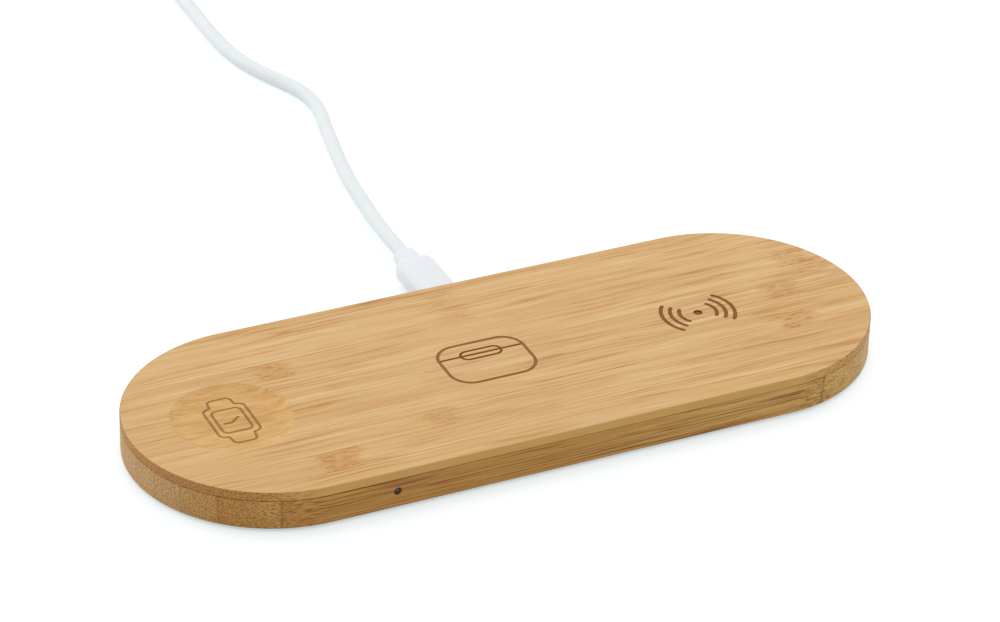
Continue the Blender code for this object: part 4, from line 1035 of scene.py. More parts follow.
carve(panel, dish_cutter())
print("dish:", round(DISH_DEPTH * 1000, 2), "mm deep, cove", round(COVE_RADIUS * 1000, 2), "mm")

# %% [markdown]
# A laser burns the three signs into the wood: a watch, an earbud case and the waves of a wireless
# charger. Each line is a rod laid along the sign's outline, sunk only a quarter of the line's width
# into the surface, and cut out of it, which leaves a shallow rounded groove with a scorched floor.
# The outline starts as a ring of as many vertices as the sign has corners. They are moved to their
# places, and a vertex bevel rounds them. The waves' rods grow thin at their ends, so that these
# grooves end round. The longer the laser dwells on a line, the darker is its scorch, so there are
# four of them.

# %% Engraving helpers

# A rod's radius and how high it lies, as shares of the stroke that it leaves.
ROD_SHARE = 0.62
LIFT_SHARE = math.sqrt(ROD_SHARE**2 - 0.5**2)
END_THINNING, ROD_RESOLUTION = 0.96, 4


def ring(corners, centre, z, closed=True):
    """A wire through the corners, given about a centre."""
    bpy.ops.mesh.primitive_circle_add(vertices=max(3, len(corners)), location=(*centre, z))
    wire = started("sign_wire")
    for vert, (x, y) in zip(wire.data.vertices, corners):
        vert.co = (centre[0] + x, centre[1] + y, z)
    if not closed:
        with Editing(wire):
            last = len(corners) - 1
            pick("EDGE", lambda edge: {vert.index for vert in edge.verts} == {0, last})
            bpy.ops.mesh.delete(type="EDGE")
    return wire


def round_corners(wire, near, radius, segments=6):
    """Rounds those corners of a wire that pass a test on their place."""
    with Editing(wire):
        pick("VERT", near)
        bpy.ops.mesh.bevel(offset=radius, segments=segments, affect="VERTICES")
    return wire


def round_ends(rod, stroke):
    """Thins a rod towards its ends, so that the groove it leaves ends in half a circle."""
    for spline in rod.data.splines:
        ends = [spline.points[0].co.copy(), spline.points[-1].co.copy()]
        for point in spline.points:
            way = min((point.co - end).length for end in ends)
            share = max(0, 1 - 2 * way / stroke)
            half_width_squared = 0.5**2 * (1 - END_THINNING * share**2)
            point.radius = math.sqrt(half_width_squared + LIFT_SHARE**2) / ROD_SHARE


def engrave(wire, stroke, scorch, rounded=False):
    """Lifts the wire from the surface, makes it a rod and cuts this out, a stroke wide."""
    with Editing(wire):
        bpy.ops.mesh.select_all(action="SELECT")
        bpy.ops.mesh.remove_doubles(threshold=10 * NEAR)
        bpy.ops.transform.translate(value=(0, 0, stroke * LIFT_SHARE))
    bpy.ops.object.convert(target="CURVE")
    rod = bpy.context.object
    rod.data.bevel_depth = stroke * ROD_SHARE
    rod.data.bevel_resolution = ROD_RESOLUTION
    rod.data.use_fill_caps = True
    if rounded:
        round_ends(rod, stroke)
    bpy.ops.object.convert(target="MESH")
    rod = bpy.context.object
    with Editing(rod):
        bpy.ops.mesh.select_all(action="SELECT")
        bpy.ops.mesh.remove_doubles(threshold=NEAR)
        bpy.ops.mesh.normals_make_consistent(inside=False)
    rod.data.materials.clear()
    rod.data.materials.append(scorch)
    before = len(panel.data.polygons)
    carve(panel, rod, bent=True)
    print("groove:", len(panel.data.polygons) - before, "faces")


def rectangle(width, height):
    x, y = width / 2, height / 2
    return [(-x, -y), (x, -y), (x, y), (-x, y)]


SCORCHES = {"light_scorch": 0.6, "brown_scorch": 0.77, "deep_scorch": 0.86, "dark_scorch": 0.96}
light_scorch, brown_scorch, deep_scorch, dark_scorch = (
    panel_pattern(name, burn) for name, burn in SCORCHES.items()
)
print("a groove is", round(ROD_SHARE - LIFT_SHARE, 2), "as deep as it is wide")

# %% The watch sign

WATCH_STROKE = 0.00085
WATCH_CASE = (0.0122, 0.0151)
WATCH_CASE_ROUND, STRAP_ROOT_ROUND, STRAP_TIP_ROUND = 0.002, 0.0004, 0.0013
STRAP_HALF_WIDTH, STRAP_REACH, STRAP_TAPER = 0.0037, 0.0037, 0.0004
SCREEN_MARGIN, SCREEN_ROUND = 0.0018, 0.0016
HANDS = ((-0.22, -0.07), (-0.03, -0.07), (0.2, 0.08))


def watch_wire(z):
    x, y = WATCH_CASE[0] / 2, WATCH_CASE[1] / 2
    tip_x, tip_y = STRAP_HALF_WIDTH - STRAP_TAPER, y + STRAP_REACH
    quarter = [(x, y), (STRAP_HALF_WIDTH, y), (tip_x, tip_y)]
    left = [(-a, b) for a, b in reversed(quarter)]
    low_left = [(-a, -b) for a, b in quarter]
    low_right = [(a, -b) for a, b in reversed(quarter)]
    wire = ring(quarter + left + low_left + low_right, (WATCH_X, 0), z)
    round_corners(wire, lambda v: abs(v.co.x - WATCH_X) > x - NEAR, WATCH_CASE_ROUND)
    round_corners(wire, lambda v: abs(v.co.y) > tip_y - NEAR, STRAP_TIP_ROUND)
    root = STRAP_HALF_WIDTH
    round_corners(wire, lambda v: abs(abs(v.co.x - WATCH_X) - root) < NEAR, STRAP_ROOT_ROUND, 3)
    return wire


def engrave_watch():
    z = DISH_FLOOR_Z
    engrave(watch_wire(z), WATCH_STROKE, light_scorch)
    width, height = (size - 2 * SCREEN_MARGIN for size in WATCH_CASE)
    screen = ring(rectangle(width, height), (WATCH_X, 0), z)
    engrave(round_corners(screen, lambda v: True, SCREEN_ROUND), WATCH_STROKE, light_scorch)
    hands = [(WATCH_CASE[0] * x, WATCH_CASE[1] * y) for x, y in HANDS]
    engrave(ring(hands, (WATCH_X, 0), z, closed=False), WATCH_STROKE, light_scorch)


engrave_watch()
print("panel:", len(panel.data.polygons), "faces after the watch sign")

# %% The earbud case sign

CASE_STROKE, CATCH_STROKE = 0.00105, 0.00085
EARBUD_CASE, EARBUD_CASE_ROUND = (0.0261, 0.0199), 0.0064
CATCH_SIZE = (0.0124, 0.0043)
LID_SHARE = 0.2
LID_Y = EARBUD_CASE[1] * LID_SHARE


def engrave_earbud_case():
    z = PAD_TOP
    case = ring(rectangle(*EARBUD_CASE), (EARBUD_X, 0), z)
    engrave(round_corners(case, lambda v: True, EARBUD_CASE_ROUND, 12), CASE_STROKE, brown_scorch)
    half = CATCH_SIZE[1] / 2
    catch = ring(rectangle(*CATCH_SIZE), (EARBUD_X, LID_Y), z)
    engrave(round_corners(catch, lambda v: True, half, 8), CATCH_STROKE, dark_scorch)
    ends = [(-EARBUD_CASE[0] / 2, 0), (0, 0), (EARBUD_CASE[0] / 2, 0)]
    engrave(ring(ends, (EARBUD_X, LID_Y), z + 10 * NEAR, closed=False), CATCH_STROKE, dark_scorch)


engrave_earbud_case()
print("panel:", len(panel.data.polygons), "faces after the earbud case sign")

# %% The charging waves

WAVE_STROKE = 0.00125
WAVE_RADII = (0.0055, 0.00815, 0.0108)
WAVE_HALF_ANGLE = math.radians(43.5)
WAVE_DOT_RADIUS, WAVE_DOT_DEPTH, WAVE_DOT_SIDES = 0.00135, 0.0004, 40
# Extra corners towards the end of an arc, as shares of half a stroke.
TIP_STEPS = (0, 0.07, 0.25, 0.55)
WAVE_Y = -0.0002


def wave_pair(radius, z, steps=16):
    """The left and the right arc of one wave, as one wire of two pieces."""
    reach = WAVE_HALF_ANGLE - WAVE_STROKE / 2 / radius
    tips = [WAVE_HALF_ANGLE - WAVE_STROKE / 2 / radius * share for share in TIP_STEPS]
    middle = [reach * (2 * i / steps - 1) for i in range(steps + 1)]
    angles = [-tip for tip in tips] + middle + tips[::-1]
    right = [(radius * math.cos(a), radius * math.sin(a)) for a in angles]
    wire = ring(right + [(-x, -y) for x, y in right], (PHONE_X, WAVE_Y), z)
    with Editing(wire):
        # Only the two edges that join one arc to the other are as long as this.
        pick("EDGE", lambda edge: edge.calc_length() > radius / 3)
        bpy.ops.mesh.delete(type="EDGE")
    return wire


for radius in WAVE_RADII:
    engrave(wave_pair(radius, PAD_TOP), WAVE_STROKE, deep_scorch, rounded=True)
dot_place = (PHONE_X, WAVE_Y)
dot_heights = PAD_TOP - WAVE_DOT_DEPTH, PAD_TOP + OVERRUN
dot = disc("dot", WAVE_DOT_RADIUS, *dot_heights, dot_place, WAVE_DOT_SIDES)
dot.data.materials.append(deep_scorch)
carve(panel, dot)
done(panel, "charger", "bamboo_panel", panel_bamboo, "top_panel")
finish_with(panel, "WEIGHTED_NORMAL", keep_sharp=True)

# %% [markdown]
# Four soft feet sit in shallow bores under the base. A foot is a thick disc of pale silicone with a
# rounded lower rim and a slightly hollow sole, which grips like a suction cup. One is modelled,
# from a cylinder by a bevel and an inset, and the others are copies of it.

# %% Feet

FOOT_RADIUS, FOOT_TOP, FOOT_ROUND = 0.0051, 0.0012, 0.0003
SOLE_INSET, SOLE_HOLLOW = 0.0009, 0.00012


def shape_foot(name, place):
    foot = disc(name, FOOT_RADIUS, 0, FOOT_TOP, place, FOOT_SIDES)
    bevel_where(foot, edge_at(Z, 0), FOOT_ROUND, 4)
    with Editing(foot):
        pick("FACE", lambda face: face.normal.z < -FACING)
        bpy.ops.mesh.inset(thickness=SOLE_INSET)
        bpy.ops.mesh.inset(thickness=SOLE_HOLLOW)
        bpy.ops.transform.translate(value=(0, 0, SOLE_HOLLOW))
    return foot


def copy_to(piece, name, shift):
    """A copy with a mesh of its own, moved from the first one's place to its own."""
    choose(piece)
    bpy.ops.object.duplicate()
    bpy.ops.transform.translate(value=shift)
    return started(name)


silicone = plain_finish(
    "silicone",
    clouds=(500, 3),
    colours=((196, 197, 194), (218, 218, 214)),
    shine=(0.55, 0.72),
    relief=(4000, 0.00002, 0.6),
    Specular_IOR_Level=0.4,
)
(first_name, first_place), *other_feet = FOOT_PLACES.items()
first_foot = shape_foot("silicone_" + first_name, first_place)
feet = {first_name: first_foot}
for name, place in other_feet:
    shift = (place[0] - first_place[0], place[1] - first_place[1], 0)
    feet[name] = copy_to(first_foot, "silicone_" + name, shift)
for name, foot in feet.items():
    done(foot, "charger", "silicone", silicone, name)

# %% [markdown]
# The small dark spot in the front edge is the end of a light pipe: a short rod of smoked plastic
# with a domed end, a little behind the wood. A pale lamp on the circuit board shines into it.

# %% Light pipe

PIPE_RADIUS, PIPE_BACK_Y, PIPE_FRONT_Y, PIPE_DOME = 0.0009, -0.0398, -0.0420, 0.0004


def smoked_finish():
    net = Net("smoked_lens", IOR=1.49)
    # Painted shade: the pipe's colour grows darker further into its hole, away from the domed front
    # end.
    depth = net.split(net.place)[1].step(PIPE_FRONT_Y, PIPE_FRONT_Y + 0.0008)
    colour = net.mix(depth, paint(52, 56, 66), paint(22, 23, 30))
    return net.finish(colour, net.grain(2500).vary(0.07, 0.16))


pipe_length = PIPE_BACK_Y - PIPE_FRONT_Y
pipe = disc("smoked_light_pipe", PIPE_RADIUS, 0, pipe_length, sides=HOLE_SIDES)
bevel_where(pipe, edge_at(Z, pipe_length), PIPE_DOME, 5)
stand_up(pipe, LIGHT_X, PIPE_BACK_Y, LIGHT_Z)
done(pipe, "charger", "smoked_lens", smoked_finish(), "light_pipe")

# %% [markdown]
# The socket in the rear edge is drawn from sheet steel: a flat tube with round ends, plated bright.
# A black tongue with a row of gilded contacts stands in it. The tube is the same pulled-apart
# cylinder that the board is, stood up to face the rear, with its bore cut out.

# %% Steel and black plastic


def steel_finish(name, bright, dark, direction):
    """Plated steel. direction gives the steps a metre along each axis of its drawing marks."""
    net = Net(name, Metallic=1.0)
    marks, stain = net.noise(net.stretch(*direction), detail=3), net.grain(220)
    roughness = (marks + stain * 0.5).step(0.4, 1.1, 0.17, 0.36)
    return net.finish(net.mix(stain, bright, dark), roughness, marks, 0.000006, 0.5)


# The gilded contacts: their pitch, half of one, half of the row, and where they start and end.
CONTACT_PITCH, CONTACT_HALF, CONTACT_ROW_HALF = 0.0005, 0.00012, 0.003
CONTACT_START_Y, CONTACT_END_Y = 0.0368, 0.0398


def contact_finish():
    """Black plastic whose tongue carries gilded contacts, half a millimetre apart along X."""
    net = Net("black_tongue", Specular_IOR_Level=0.5)
    x, y, _ = net.split(net.place)
    off = x - PORT_X
    bars = net.sum("PINGPONG", off, CONTACT_PITCH / 2) < CONTACT_HALF
    gold = bars * (abs(off) < CONTACT_ROW_HALF) * ((y > CONTACT_START_Y) * (y < CONTACT_END_Y))
    grain = net.grain(3000)
    black = net.mix(grain, paint(24, 24, 26), paint(40, 40, 42))
    colour = net.mix(gold, black, paint(214, 170, 92))
    roughness = (gold + grain).step(0.3, 1.3, 0.55, 0.25)
    return net.finish(colour, roughness, grain, 0.00001, 0.4, metallic=gold)


DRAWN_ALONG_Y, DRAWN_ALONG_X = (3000, 60, 3000), (60, 3000, 3000)
drawn_steel = steel_finish("drawn_steel", paint(206, 206, 208), paint(184, 185, 190), DRAWN_ALONG_Y)
print("steel marks run along Y, as the shells are drawn")

# %% Socket in the rear edge

PORT_AXIS = (PORT_X, PORT_Z)
PORT_FACE_Y, PORT_BACK_Y = 0.0422, 0.03485
PORT_SHELL, PORT_BORE = (0.00894, 0.00316), (0.00855, 0.0027)
TONGUE_BLOCK, TONGUE_BLOCK_FRONT_Y = (0.00795, 0.0021), 0.03575
TONGUE_HALF, TONGUE_TIP_Y = (0.003345, 0.00035), 0.04015
TONGUE_ROOT, TONGUE_ROUND = 0.0004, 0.00015
RIM_ROUND = 0.00008


def flat_tube(name, outer, bore, back_y, front_y, bore_end):
    """A flat tube along Y at the socket's axis, open from its back to some place."""
    tube_piece = long_round(name, *outer, back_y, front_y, FINE_SIDES)
    for height in (back_y, front_y):
        bevel_where(tube_piece, edge_at(Z, height), RIM_ROUND, 2)
    carve(tube_piece, long_round("bore", *bore, back_y - OVERRUN, bore_end, FINE_SIDES))
    return stand_up(tube_piece, PORT_X, 0, PORT_Z, -math.pi / 2)


port_sizes = PORT_SHELL, PORT_BORE, PORT_BACK_Y, PORT_FACE_Y, PORT_FACE_Y + OVERRUN
port = flat_tube("socket_shell", *port_sizes)
done(port, "charger", "plated_steel", drawn_steel, "usb_c_port_shell")

block_length = TONGUE_BLOCK_FRONT_Y - PORT_BACK_Y
tongue = long_round("socket_tongue", *TONGUE_BLOCK, 0, block_length, COARSE_SIDES)
stand_up(tongue, PORT_X, TONGUE_BLOCK_FRONT_Y, PORT_Z)
blade_ends = TONGUE_BLOCK_FRONT_Y - TONGUE_ROOT, TONGUE_TIP_Y
blade = box_about("blade", Y, blade_ends, PORT_AXIS, TONGUE_HALF)
bevel_where(blade, edge_at(Y, TONGUE_TIP_Y), TONGUE_ROUND, 3)
carve(tongue, blade, "UNION")
done(tongue, "charger", "black_plastic", contact_finish(), "usb_c_port_tongue")

# %% [markdown]
# The plug's body is moulded round a steel tip in soft white plastic. It is a block whose long edges
# are strongly rounded, so that its section is almost an oval, and its rear shoulders flow into the
# collar, which narrows towards the cable. The collar is the same plastic, so it meets the body
# without a gap.

# %% White plastic

moulded_white = plain_finish(
    "moulded_white",
    clouds=(130,),
    colours=((231, 235, 240), (238, 241, 245)),
    shine=(0.3, 0.42),
    relief=(5000, 0.000008, 0.5),
)


def shape_collar(name, axis, wide_at, narrow_at, centre, half, rounding, taper, lip):
    """A collar that narrows towards the cable and has a small lip there."""
    collar = soft_block(name, axis, sorted((wide_at, narrow_at)), centre, half, rounding)
    with Editing(collar):
        pick("VERT", lambda vert: abs(vert.co[axis] - narrow_at) < NEAR)
        middle = on_line(axis, narrow_at, centre)
        bpy.ops.transform.resize(value=(taper, taper, taper), center_override=middle)
    bevel_where(collar, edge_at(axis, narrow_at), lip, 5)
    return collar


print("white plastic is ready")

# %% USB-C plug

PLUG_TIP_Y, PLUG_FACE_Y, PLUG_END_Y, COLLAR_END_Y = 0.03635, 0.0430, 0.0676, 0.0742
PLUG_TIP, PLUG_BORE, PLUG_BORE_END_Y = (0.00825, 0.0024), (0.0073, 0.0013), 0.04145
PLUG_HALF, PLUG_ROUND, PLUG_LIPS = (0.00615, 0.0032), 0.0022, (0.0007, 0)
COLLAR_HALF, COLLAR_DEPTH = (0.0040, 0.0028), 0.0012
# The collar's rounding, its taper and its lip.
COLLAR_FORM = (0.0022, 0.84, 0.0009)
SEAT_SIZE = (0.00885, 0.003)
SHOULDER_LENGTH, SHOULDER_SHARES = 0.0028, (0.36, 0.16)
PLUG_SEAT_Y, SHELL_BACK_Y = 0.0450, 0.0447

tip = flat_tube("plug_tip", PLUG_TIP, PLUG_BORE, PLUG_TIP_Y, SHELL_BACK_Y, PLUG_BORE_END_Y)
done(tip, "cable", "plated_steel", drawn_steel, "usb_c_plug_shell")


def shrink_end(body, steps=6):
    """Turns the body's rear end into soft shoulders: it is extruded rearwards, ever narrower."""
    with Editing(body):
        pick("VERT", lambda vert: vert.co.y > PLUG_END_Y - NEAR)
        bpy.ops.transform.translate(value=(0, -SHOULDER_LENGTH, 0))
        pick("FACE", lambda face: face.normal.y > FACING)
        middle = (PORT_X, PLUG_END_Y - SHOULDER_LENGTH, PORT_Z)
        before = (1, 1)
        for i in range(1, steps + 1):
            angle = math.pi / 2 * i / steps
            wide, high = (1 - share * (1 - math.cos(angle)) for share in SHOULDER_SHARES)
            step = SHOULDER_LENGTH * (math.sin(angle) - math.sin(angle - math.pi / 2 / steps))
            bpy.ops.mesh.extrude_region_move(TRANSFORM_OT_translate={"value": (0, step, 0)})
            change = (wide / before[0], 1, high / before[1])
            bpy.ops.transform.resize(value=change, center_override=middle)
            before = (wide, high)


plug_ends = PLUG_FACE_Y, PLUG_END_Y
body = soft_block("plug_body", Y, plug_ends, PORT_AXIS, PLUG_HALF, PLUG_ROUND, PLUG_LIPS)
shrink_end(body)
seat_depth = PLUG_SEAT_Y - PLUG_FACE_Y + OVERRUN
seat = long_round("seat", *SEAT_SIZE, 0, seat_depth, FINE_SIDES)
carve(body, stand_up(seat, PORT_X, PLUG_SEAT_Y, PORT_Z))
done(body, "cable", "white_plastic", moulded_white, "usb_c_overmold")

# %% Collar of the USB-C plug

collar_sizes = PLUG_END_Y - COLLAR_DEPTH, COLLAR_END_Y, PORT_AXIS, COLLAR_HALF, *COLLAR_FORM
collar = shape_collar("plug_collar", Y, *collar_sizes)
done(collar, "cable", "white_plastic", moulded_white, "usb_c_strain_relief")

# %% [markdown]
# The far end carries the larger plug. Its steel shell is folded from sheet, with two square windows
# in each broad side, where springs in a socket catch it. A pale tongue lies against its upper wall.

# %% USB-A plug

A_AXIS = (A_PLUG_Y, A_PLUG_Z)
A_COLLAR_X, A_BODY_X, A_FACE_X, A_TIP_X = 0.0593, 0.0694, 0.0935, 0.11225
A_COLLAR_HALF, A_BODY_HALF = (0.0036, 0.003), (0.00785, 0.004)
A_SHELL_HALF, A_SHELL_WALL, A_SHELL_ROUND = (0.006, 0.00225), 0.0004, 0.0006
A_SHELL_START_X, A_WINDOW_X = 0.0908, 0.1055
A_WINDOW_HALF, A_WINDOW_Y = 0.00115, 0.0027
A_TONGUE_RISE, A_TONGUE_HALF = 0.0007, (0.0053, 0.00085)
A_TONGUE_END_X, A_TONGUE_ROUND, A_SEAT_GAP = A_TIP_X - 0.0005, 0.0002, 0.0003
# A collar's rounding, taper and lip, and a body's rounding, the lips of its ends and its segments.
A_COLLAR_FORM, A_BODY_FORM = (0.0022, 0.87, 0.0008), (0.0016, (0.0012, 0.0006), 6)

a_collar_sizes = A_BODY_X, A_COLLAR_X, A_AXIS, A_COLLAR_HALF, *A_COLLAR_FORM
a_collar = shape_collar("large_plug_collar", X, *a_collar_sizes)
done(a_collar, "cable", "white_plastic", moulded_white, "usb_a_strain_relief")

a_body_ends = A_BODY_X, A_FACE_X
a_body = soft_block("large_plug_body", X, a_body_ends, A_AXIS, A_BODY_HALF, *A_BODY_FORM)
a_seat_ends = A_SHELL_START_X - A_SEAT_GAP, A_FACE_X + OVERRUN
a_seat_half = [half + A_SEAT_GAP for half in A_SHELL_HALF]
carve(a_body, box_about("seat", X, a_seat_ends, A_AXIS, a_seat_half))
done(a_body, "cable", "white_plastic", moulded_white, "usb_a_overmold")

# %% Shell and tongue of the USB-A plug


def shape_a_shell():
    ends = A_SHELL_START_X, A_TIP_X
    shell = soft_block("large_plug_shell", X, ends, A_AXIS, A_SHELL_HALF, A_SHELL_ROUND, segments=5)
    hollow_out(shell, X, A_SHELL_WALL)
    window = Vector((A_WINDOW_HALF, A_WINDOW_HALF, 2 * A_SHELL_HALF[1]))
    for side in (-1, 1):
        middle = Vector((A_WINDOW_X, A_PLUG_Y + side * A_WINDOW_Y, A_PLUG_Z))
        carve(shell, box("window", middle - window, middle + window))
    return shell


steel_colours = paint(208, 208, 209), paint(186, 187, 191)
folded_steel = steel_finish("folded_steel", *steel_colours, DRAWN_ALONG_X)
done(shape_a_shell(), "cable", "plated_steel", folded_steel, "usb_a_shell")
a_tongue_ends = A_SHELL_START_X, A_TONGUE_END_X
a_tongue_centre = A_PLUG_Y, A_PLUG_Z + A_TONGUE_RISE
a_tongue_form = A_TONGUE_HALF, A_TONGUE_ROUND, (0, A_TONGUE_ROUND), 2
a_tongue = soft_block("large_plug_tongue", X, a_tongue_ends, a_tongue_centre, *a_tongue_form)
done(a_tongue, "cable", "white_plastic", moulded_white, "usb_a_tongue")

# %% [markdown]
# A woven band holds the wound cable. It is a flat ring with rounded corners: the side wall of a
# rounded block, given its thickness inwards. The weave is two sets of fine waves that cross at
# right angles.

# %% Cable tie

TIE_WALL, TIE_HALF_WIDTH, TIE_GAP, TIE_LIP = 0.0008, 0.004, 0.0003, 0.00015
TIE_X = COIL_X + (COIL_OUTER_RADIUS - COIL_PITCH / 2 + COIL_INNER_RADIUS) / 2
TIE_REACH = (COIL_OUTER_RADIUS - COIL_PITCH / 2 - COIL_INNER_RADIUS + CABLE_DIAMETER) / 2
TIE_Z = (COIL_LOW_Z + COIL_HIGH_Z) / 2
TIE_HALF = tuple(
    half + TIE_GAP + TIE_WALL for half in (TIE_REACH, (COIL_LAYER_RISE + CABLE_DIAMETER) / 2)
)


def woven_finish():
    net = Net("woven_band", Specular_IOR_Level=0.25)
    x, y, z = net.millimetres()
    across, along = (net.sum("SINE", way * 9.0) for way in (x + z, y))
    weave, fuzz = (across * along).step(-0.8, 0.8), net.grain(2600, 3)
    yarn = net.mix(weave, paint(120, 122, 125), paint(176, 178, 181))
    colour = net.mix(fuzz.step(0.35, 0.7, 0, 0.4), yarn, paint(205, 206, 208))
    return net.finish(colour, fuzz.step(0.2, 0.8, 0.75, 0.95), weave + fuzz * 0.4, 0.00008, 0.8)


def shape_tie():
    ends = COIL_Y - TIE_HALF_WIDTH, COIL_Y + TIE_HALF_WIDTH
    rounding = CABLE_DIAMETER / 2 + TIE_WALL
    tie = soft_block("woven_tie", Y, ends, (TIE_X, TIE_Z), TIE_HALF, rounding, segments=10)
    hollow_out(tie, Y, TIE_WALL)
    for value in ends:
        bevel_where(tie, edge_at(Y, value), TIE_LIP, 2)
    return tie


done(shape_tie(), "cable", "woven_tie", woven_finish(), "cable_tie")

# %% [markdown]
# Each charging coil is litz wire, a twisted bundle of fine lacquered strands, wound flat. The wire
# comes from the circuit board, passes under the turns to the middle, winds outwards and goes back.
# The curve is laid along that line and made a mesh, which keeps the curve's own UV map: U runs
# along the wire and V round it, so a slanted stripe in U and V is a strand that twists.

# %% Charging coils

COIL_WIRE_Z, LEAD_Z, LEAD_PAD_Z = 0.0093, 0.00785, 0.0059
LEAD_RAMP, LEAD_RISE_REACH, LEAD_GAP, LEAD_PAD_INSET = 0.003, 0.0034, 0.0003, 0.0045
WINDING_STEPS, LEAD_RISE_STEPS = 64, 8
STRANDS, TWIST_LENGTH, WIRE_RESOLUTION = 7, 0.006, 3


def winding_line(x, inner, turns, side, arm):
    """From the inner lead to the outer one, first laid out with both leads towards -X."""
    outer, reach, start = inner + turns * WIRE_PITCH, abs(x - arm) + LEAD_PAD_INSET, WIRE_DIAMETER
    line = [(-reach, -inner, LEAD_PAD_Z), (start - reach, -inner, LEAD_PAD_Z)]
    line.append((start + LEAD_RAMP - reach, -inner, LEAD_Z))
    for i in range(LEAD_RISE_STEPS + 1):
        share = i / LEAD_RISE_STEPS
        height = LEAD_Z + (COIL_WIRE_Z - LEAD_Z) * ease(share)
        line.append((-LEAD_RISE_REACH * (1 - share) - LEAD_GAP, -inner, height))
    for i in range(round(turns * WINDING_STEPS) + 1):
        angle = 2 * math.pi * i / WINDING_STEPS - math.pi / 2
        radius = inner + WIRE_PITCH * i / WINDING_STEPS
        line.append((radius * math.cos(angle), radius * math.sin(angle), COIL_WIRE_Z))
    line.append((start + LEAD_RAMP - reach, outer, COIL_WIRE_Z))
    line += [(start - reach, outer, LEAD_PAD_Z), (-reach, outer, LEAD_PAD_Z)]
    return [Vector((x - side * px, -side * py, pz)) for px, py, pz in line]


def litz_finish(wire_length):
    net = Net("litz_wire", Metallic=0.85)
    u, v, _ = net.split(net.add("ShaderNodeTexCoord", output="UV"))
    slant = (u * (wire_length / TWIST_LENGTH) + v) * STRANDS
    strand, tint = net.sum("PINGPONG", slant, 0.5).step(0, 0.32), net.grain(900)
    copper = net.mix(tint, paint(196, 112, 62), paint(222, 142, 84))
    colour = net.mix(strand, paint(118, 58, 30), copper)
    return net.finish(colour, tint.vary(0.28, 0.42), strand, 0.00005, 0.8)


for name, (x, inner, turns, _, side, arm) in COIL_PLACES.items():
    line = winding_line(x, inner, turns, side, arm)
    choose(tube(name + "_winding", line, WIRE_DIAMETER, WIRE_RESOLUTION))
    bpy.ops.object.convert(target="MESH")
    winding, length = bpy.context.object, line_length(line)
    done(winding, "charger", "litz_wire", litz_finish(length), name + "_coil", angle=60)
    print(name, "wire:", round(length, 2), "m, maps:", winding.data.uv_layers.keys())

# %% [markdown]
# The other pieces inside are plain in the real thing too: ferrite sheets, foam tape, a magnet, the
# circuit board and the parts on it. Their solids stay, and only the finish is new. Ferrite is a
# dark sintered ceramic with fine bright specks. Foam tape is pale and full of pores.

# %% Ferrite, foam tape and magnet


def dress(material, *names):
    """Gives a finish to solids of the frame that stay as they are."""
    for name in names:
        for material_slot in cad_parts[name].material_slots:
            material_slot.material = material
    print(material.name, "on", ", ".join(names))


def ferrite_finish(name, dark, light):
    net = Net(name, Specular_IOR_Level=0.45)
    specks, clouds = net.grain(4200, roughness=0.7), net.grain(140, 3)
    grey = net.mix(clouds, dark, light)
    colour = net.mix(specks.step(0.62, 0.72, 0, 0.5), grey, paint(120, 121, 126))
    return net.finish(colour, clouds.vary(0.42, 0.6), specks, 0.00002, 0.4)


def foam_finish():
    net = Net("porous_foam", Specular_IOR_Level=0.2)
    pores = net.cells(net.stretch(3200, 3200, 3200)).step(0.15, 0.5)
    foam = net.mix(net.grain(260), paint(222, 219, 209), paint(236, 234, 226))
    colour = net.mix(pores, paint(196, 192, 180), foam)
    return net.finish(colour, pores.step(0, 1, 0.97, 0.85), pores, 0.00006, 0.6)


ferrite = ferrite_finish("sintered_ferrite", paint(52, 53, 56), paint(66, 67, 70))
nickel = steel_finish("nickel_plate", paint(204, 202, 196), paint(186, 184, 178), (900, 900, 900))
dress(ferrite, *(place + "_ferrite" for place in COIL_PLACES))
dress(foam_finish(), *(place + "_coil_tape" for place in COIL_PLACES), "board_tape")
dress(nickel, "watch_magnet")

# %% [markdown]
# Lacquer on a circuit board is a green film over the fibre and copper, and the copper tracks show
# through it as lighter lines. The parts on the board are epoxy blocks, ceramic capacitors with
# tinned ends, and a pressed inductor.

# %% Circuit board and its parts


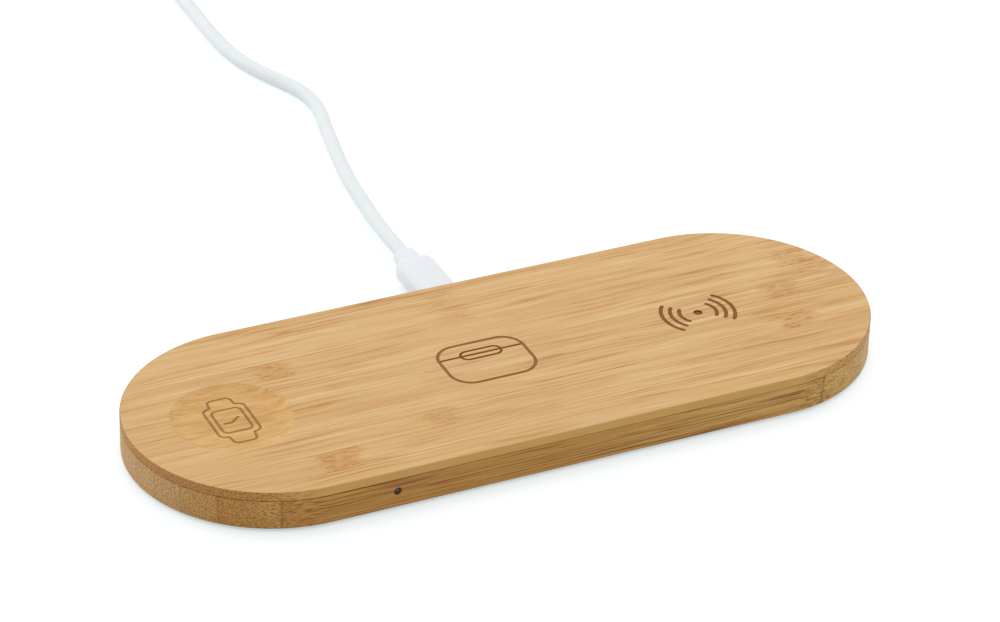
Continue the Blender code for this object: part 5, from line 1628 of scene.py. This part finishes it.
def board_finish():
    """Green lacquer over a glass weave, with tracks as bent stripes, and pale edges."""
    net = Net("board_lacquer", Coat_Weight=0.4, Coat_Roughness=0.2)
    x, y, _ = net.millimetres()
    stripes = net.sum("PINGPONG", x + y + net.grain(90, 0) * 3.0, 0.7)
    tracks = stripes.step(0.18, 0.26, 1.0, 0.0) * net.grain(110, 1).step(0.5, 0.54)
    weave = net.sum("SINE", x * 16) * net.sum("SINE", y * 16)
    up = net.split(net.add("ShaderNodeNewGeometry", output="Normal"))[2]
    edge = abs(up).step(0.4, 0.6, 1.0, 0.0)
    colour = net.coats(
        net.mix(weave.step(-1, 1), paint(20, 84, 50), paint(26, 98, 58)),
        (tracks, paint(48, 132, 74)),
        (edge, paint(176, 160, 104)),
    )
    return net.finish(colour, edge.step(0, 1, 0.32, 0.7), tracks + weave * 0.15, 0.00003, 0.6)


def epoxy_finish():
    net = Net("chip_epoxy", Specular_IOR_Level=0.45)
    grain, clouds = net.grain(6000), net.grain(400)
    colour = net.mix(grain, paint(30, 30, 32), paint(46, 46, 48))
    return net.finish(colour, clouds.vary(0.45, 0.62), grain, 0.000015, 0.6)


def ceramic_finish(node):
    """A ceramic block with tinned ends, which lie along the block's Y."""
    box_low, box_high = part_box(node)
    middle, half = (box_low[1] + box_high[1]) / 2, (box_high[1] - box_low[1]) / 2
    net = Net("ceramic_" + node)
    off = abs(net.split(net.place)[1] - middle) + net.grain(2500, 1) * 0.0001
    end, grain = off.step(half * 0.68, half * 0.7), net.grain(3500, 3)
    clay = net.mix(grain, paint(150, 118, 82), paint(176, 143, 103))
    colour = net.mix(end, clay, paint(202, 202, 204))
    roughness = (end + grain).step(0.3, 1.4, 0.6, 0.3)
    return net.finish(colour, roughness, grain, 0.00001, 0.5, metallic=end)


LAMP_WINDOW_HALF = (0.00055, 0.00038)


def emitter_finish():
    """The lamp: a white housing with a pale yellow window towards the light pipe."""
    box_low, box_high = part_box("status_led")
    net = Net("lamp_housing")
    x, _, z = net.split(net.place)
    off_x, off_z = abs(x - LIGHT_X), abs(z - (box_low[2] + box_high[2]) / 2)
    window, grain = (off_x < LAMP_WINDOW_HALF[0]) * (off_z < LAMP_WINDOW_HALF[1]), net.grain(3000)
    white = net.mix(grain, paint(214, 214, 208), paint(230, 230, 224))
    colour = net.mix(window, white, paint(226, 214, 140))
    return net.finish(colour, grain.vary(0.35, 0.5))


dress(board_finish(), "main_board")
dress(epoxy_finish(), *(place + "_driver_chip" for place in COIL_PLACES))
for place in (*COIL_PLACES, "input"):
    dress(ceramic_finish(place + "_capacitor"), place + "_capacitor")
dress(ferrite_finish("pressed_inductor", paint(44, 44, 46), paint(60, 60, 62)), "power_inductor")
dress(emitter_finish(), "status_led")
